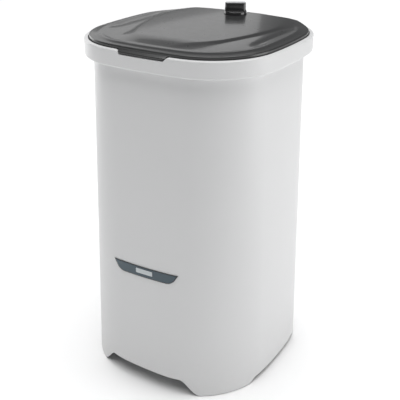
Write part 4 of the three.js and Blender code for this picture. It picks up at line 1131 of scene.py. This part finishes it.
def perforated_tree():
    """One cell with a round hole, repeated in staggered rows and bent round the basket's axis."""
    tree = bpy.data.node_groups.new("perforated_wall", "GeometryNodeTree")
    tree.interface.new_socket("Geometry", in_out="INPUT", socket_type="NodeSocketGeometry")
    for label, value in (("Radius", 0.145), ("Pitch", 0.014), ("Hole Radius", 0.0026), ("Low", 0.3)):
        socket = tree.interface.new_socket(label, in_out="INPUT", socket_type="NodeSocketFloat")
        socket.default_value = value
    for label, value in (("Columns", 72), ("Rows", 22)):
        socket = tree.interface.new_socket(label, in_out="INPUT", socket_type="NodeSocketInt")
        socket.default_value = value
    tree.interface.new_socket("Geometry", in_out="OUTPUT", socket_type="NodeSocketGeometry")
    link = tree.links.new
    given = tree.nodes.new("NodeGroupInput")
    result = tree.nodes.new("NodeGroupOutput")

    def math_node(operation, first, second):
        node = tree.nodes.new("ShaderNodeMath")
        node.operation = operation
        for socket, value in zip(node.inputs, (first, second)):
            if isinstance(value, (int, float)):
                socket.default_value = value
            else:
                link(value, socket)
        return node.outputs["Value"]

    round_length = math_node("MULTIPLY", given.outputs["Radius"], 2 * math.pi)
    width = math_node("DIVIDE", round_length, given.outputs["Columns"])
    half_width = math_node("MULTIPLY", width, 0.5)
    frame_curve = tree.nodes.new("GeometryNodeCurvePrimitiveQuadrilateral")
    frame_curve.mode = "PARALLELOGRAM"
    link(width, frame_curve.inputs["Bottom Width"] if "Bottom Width" in frame_curve.inputs and
         frame_curve.inputs["Bottom Width"].enabled else frame_curve.inputs["Width"])
    link(given.outputs["Pitch"], frame_curve.inputs["Height"])
    link(half_width, frame_curve.inputs["Offset"])
    hole = tree.nodes.new("GeometryNodeCurvePrimitiveCircle")
    hole.inputs["Resolution"].default_value = 12
    link(given.outputs["Hole Radius"], hole.inputs["Radius"])
    both = tree.nodes.new("GeometryNodeJoinGeometry")
    link(frame_curve.outputs["Curve"], both.inputs["Geometry"])
    link(hole.outputs["Curve"], both.inputs["Geometry"])
    cell = tree.nodes.new("GeometryNodeFillCurve")
    link(both.outputs["Geometry"], cell.inputs["Curve"])

    grid = tree.nodes.new("GeometryNodeMeshGrid")
    link(given.outputs["Columns"], grid.inputs["Vertices X"])
    link(given.outputs["Rows"], grid.inputs["Vertices Y"])
    link(math_node("MULTIPLY", width, math_node("SUBTRACT", given.outputs["Columns"], 1)), grid.inputs["Size X"])
    link(math_node("MULTIPLY", given.outputs["Pitch"], math_node("SUBTRACT", given.outputs["Rows"], 1)),
         grid.inputs["Size Y"])
    place_of = tree.nodes.new("GeometryNodeInputPosition")
    parts = tree.nodes.new("ShaderNodeSeparateXYZ")
    link(place_of.outputs["Position"], parts.inputs["Vector"])
    row_number = math_node("DIVIDE", parts.outputs["Y"], given.outputs["Pitch"])
    shift = tree.nodes.new("ShaderNodeCombineXYZ")
    link(math_node("MULTIPLY", row_number, half_width), shift.inputs["X"])
    staggered = tree.nodes.new("GeometryNodeSetPosition")
    link(grid.outputs["Mesh"], staggered.inputs["Geometry"])
    link(shift.outputs["Vector"], staggered.inputs["Offset"])
    cells = tree.nodes.new("GeometryNodeInstanceOnPoints")
    link(staggered.outputs["Geometry"], cells.inputs["Points"])
    link(cell.outputs["Mesh"], cells.inputs["Instance"])
    real = tree.nodes.new("GeometryNodeRealizeInstances")
    link(cells.outputs["Instances"], real.inputs["Geometry"])

    around = tree.nodes.new("GeometryNodeInputPosition")
    flat = tree.nodes.new("ShaderNodeSeparateXYZ")
    link(around.outputs["Position"], flat.inputs["Vector"])
    angle = math_node("DIVIDE", flat.outputs["X"], given.outputs["Radius"])
    half_height = math_node("MULTIPLY", math_node("MULTIPLY", given.outputs["Rows"], given.outputs["Pitch"]), 0.5)
    bent = tree.nodes.new("ShaderNodeCombineXYZ")
    link(math_node("MULTIPLY", given.outputs["Radius"], math_node("SINE", angle, 0)), bent.inputs["X"])
    link(math_node("MULTIPLY", math_node("MULTIPLY", given.outputs["Radius"], math_node("COSINE", angle, 0)), -1),
         bent.inputs["Y"])
    link(math_node("ADD", math_node("ADD", flat.outputs["Y"], half_height), given.outputs["Low"]), bent.inputs["Z"])
    rolled = tree.nodes.new("GeometryNodeSetPosition")
    link(real.outputs["Geometry"], rolled.inputs["Geometry"])
    link(bent.outputs["Vector"], rolled.inputs["Position"])
    welded = tree.nodes.new("GeometryNodeMergeByDistance")
    welded.inputs["Distance"].default_value = 0.0001
    link(rolled.outputs["Geometry"], welded.inputs["Geometry"])
    dressed = tree.nodes.new("GeometryNodeSetMaterial")
    dressed.inputs["Material"].default_value = stainless
    link(welded.outputs["Geometry"], dressed.inputs["Geometry"])
    link(dressed.outputs["Geometry"], result.inputs["Geometry"])
    return tree


wall_tree = perforated_tree()
wall = bpy.data.objects.new("perforated_wall", bpy.data.meshes.new("perforated_wall"))
bpy.context.scene.collection.objects.link(wall)
wall_maker = wall.modifiers.new("perforated", "NODES")
wall_maker.node_group = wall_tree
wall_sockets = {item.name: item.identifier for item in wall_tree.interface.items_tree if item.in_out == "INPUT"}
wall_maker[wall_sockets["Radius"]] = BASKET_RADIUS
wall_maker[wall_sockets["Pitch"]] = HOLE_PITCH
wall_maker[wall_sockets["Hole Radius"]] = HOLE_RADIUS
wall_maker[wall_sockets["Low"]] = BAND_LOW
wall_maker[wall_sockets["Columns"]] = HOLE_COLUMNS
wall_maker[wall_sockets["Rows"]] = HOLE_ROWS
settled(wall)
tidy_mesh(wall)
wall.data.transform(Matrix.Translation((0, AXIS_Y, 0)))
thickened(wall, BASKET_WALL)
stand_for(wall, stainless, "basket_steel", "spinner", "basket_wall")

BAND_HIGH = BAND_LOW + HOLE_ROWS * HOLE_PITCH
floor_path = rounded([
    (0.0090, BASKET_FLOOR, 0), (0.060, BASKET_FLOOR, 0.004), (0.075, BASKET_FLOOR + 0.004, 0.004),
    (0.095, BASKET_FLOOR + 0.004, 0.004), (0.110, BASKET_FLOOR, 0.004), (BASKET_RADIUS - 0.004, BASKET_FLOOR, 0.012),
    (BASKET_RADIUS, BASKET_FLOOR + 0.010, 0.006), (BASKET_RADIUS, BAND_LOW, 0),
], steps=8)
basket_pan = turned("basket_pan", floor_path, 144, (0, AXIS_Y, 0))
thickened(basket_pan, BASKET_WALL)
stand_for(basket_pan, stainless, "basket_steel", "spinner", "basket_floor")
rim_path = rounded([
    (BASKET_RADIUS, BAND_HIGH, 0), (BASKET_RADIUS, BASKET_TOP - 0.0004, 0.003), (MOUTH_RADIUS + 0.004, BASKET_TOP - 0.0004, 0),
], steps=6)
basket_rim = turned("basket_mouth", rim_path, 144, (0, AXIS_Y, 0))
thickened(basket_rim, BASKET_WALL)
stand_for(basket_rim, stainless, "basket_steel", "spinner", "basket_flange")

ring_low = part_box("balance_ring")[0].z
ring_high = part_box("balance_ring")[1].z
ring_path = rounded([
    (MOUTH_RADIUS, ring_low + 0.0005, 0), (BASKET_RADIUS + 0.0015, ring_low, 0.001),
    (BASKET_RADIUS + 0.0015, ring_low + 0.0085, 0.0012), (BASKET_RADIUS - 0.004, ring_high, 0.002),
    (MOUTH_RADIUS + 0.005, ring_high, 0.003), (MOUTH_RADIUS, ring_low + 0.006, 0.002), (MOUTH_RADIUS, ring_low + 0.0006, 0),
], steps=6)
ring_piece = turned("mouth_ring", ring_path, 144, (0, AXIS_Y, 0), loop=True)
stand_for(ring_piece, inner_white, "white_plastic", "spinner", "balance_ring")

cap_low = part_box("hub_cap")[0].z
cap_path = rounded([
    (0.030, cap_low, 0), (0.034, cap_low, 0.001), (0.031, cap_low + 0.014, 0.008), (0.018, cap_low + 0.027, 0.008),
    (0, cap_low + 0.031, 0),
], steps=6)
cap_inside = rounded([
    (0, cap_low + 0.028, 0), (0.0165, cap_low + 0.0245, 0.007), (0.028, cap_low + 0.013, 0.007), (0.030, cap_low, 0),
], steps=6)
cap = turned("nut_cap", cap_path + cap_inside, 96, (0, AXIS_Y, 0))
stand_for(cap, grey_plastic, "grey_plastic", "spinner", "hub_cap")


# ---- Tub, motor and brake -------------------------------------------------------------------
# These stay as the CAD made them, deep in the cabinet: the tub round the basket, the motor on its
# three rubber mounts, the brake, the capacitor and the hose. Each gets its own finish.

cast_aluminium = metal("cast_aluminium", (0.50, 0.505, 0.51), 0.46, stretch=(700.0, 700.0, 700.0), line_depth=0.25)
copper_wire = metal("copper_wire", (0.42, 0.16, 0.06), 0.32, stretch=(500.0, 500.0, 2400.0), line_depth=0.5, tarnish=0.5)
lamination = metal("steel_lamination", (0.34, 0.34, 0.35), 0.42, stretch=(80.0, 80.0, 3000.0), line_depth=0.3, tarnish=0.5)
black_plastic = plastic("black_plastic", (0.014, 0.014, 0.015), 0.38, grain_depth=0.08, cloud=0.3, dust=0.2)
CARRIED_OVER = {
    "tub_floor": inner_white,
    "tub_wall": inner_white,
    "drain_hose": black_rubber,
    "shaft_bellows": black_rubber,
    "capacitor": grey_plastic,
    "capacitor_clamp": zinc_steel,
    "lid_switch_body": black_plastic,
    "brake_cable": black_plastic,
    "timer_body": black_plastic,
    "timer_spindle": zinc_steel,
    "motor_plate": zinc_steel,
    "motor_bell_lower": cast_aluminium,
    "motor_bell_upper": cast_aluminium,
    "stator": lamination,
    "rotor": lamination,
    "winding_upper": copper_wire,
    "winding_lower": copper_wire,
    "bearing_lower": zinc_steel,
    "bearing_upper": zinc_steel,
    "brake_pivot": zinc_steel,
    "brake_lever": zinc_steel,
    "brake_pad": black_rubber,
    "motor_shaft": zinc_steel,
    "brake_drum": cast_aluminium,
    "basket_hub": grey_plastic,
    "shaft_nut": zinc_steel,
    **{f"rubber_mount_{i}": black_rubber for i in (1, 2, 3)},
    **{f"mount_nut_{i}": zinc_steel for i in (1, 2, 3)},
}
for node, material in CARRIED_OVER.items():
    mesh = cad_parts[node].data
    mesh.materials.clear()
    mesh.materials.append(material)
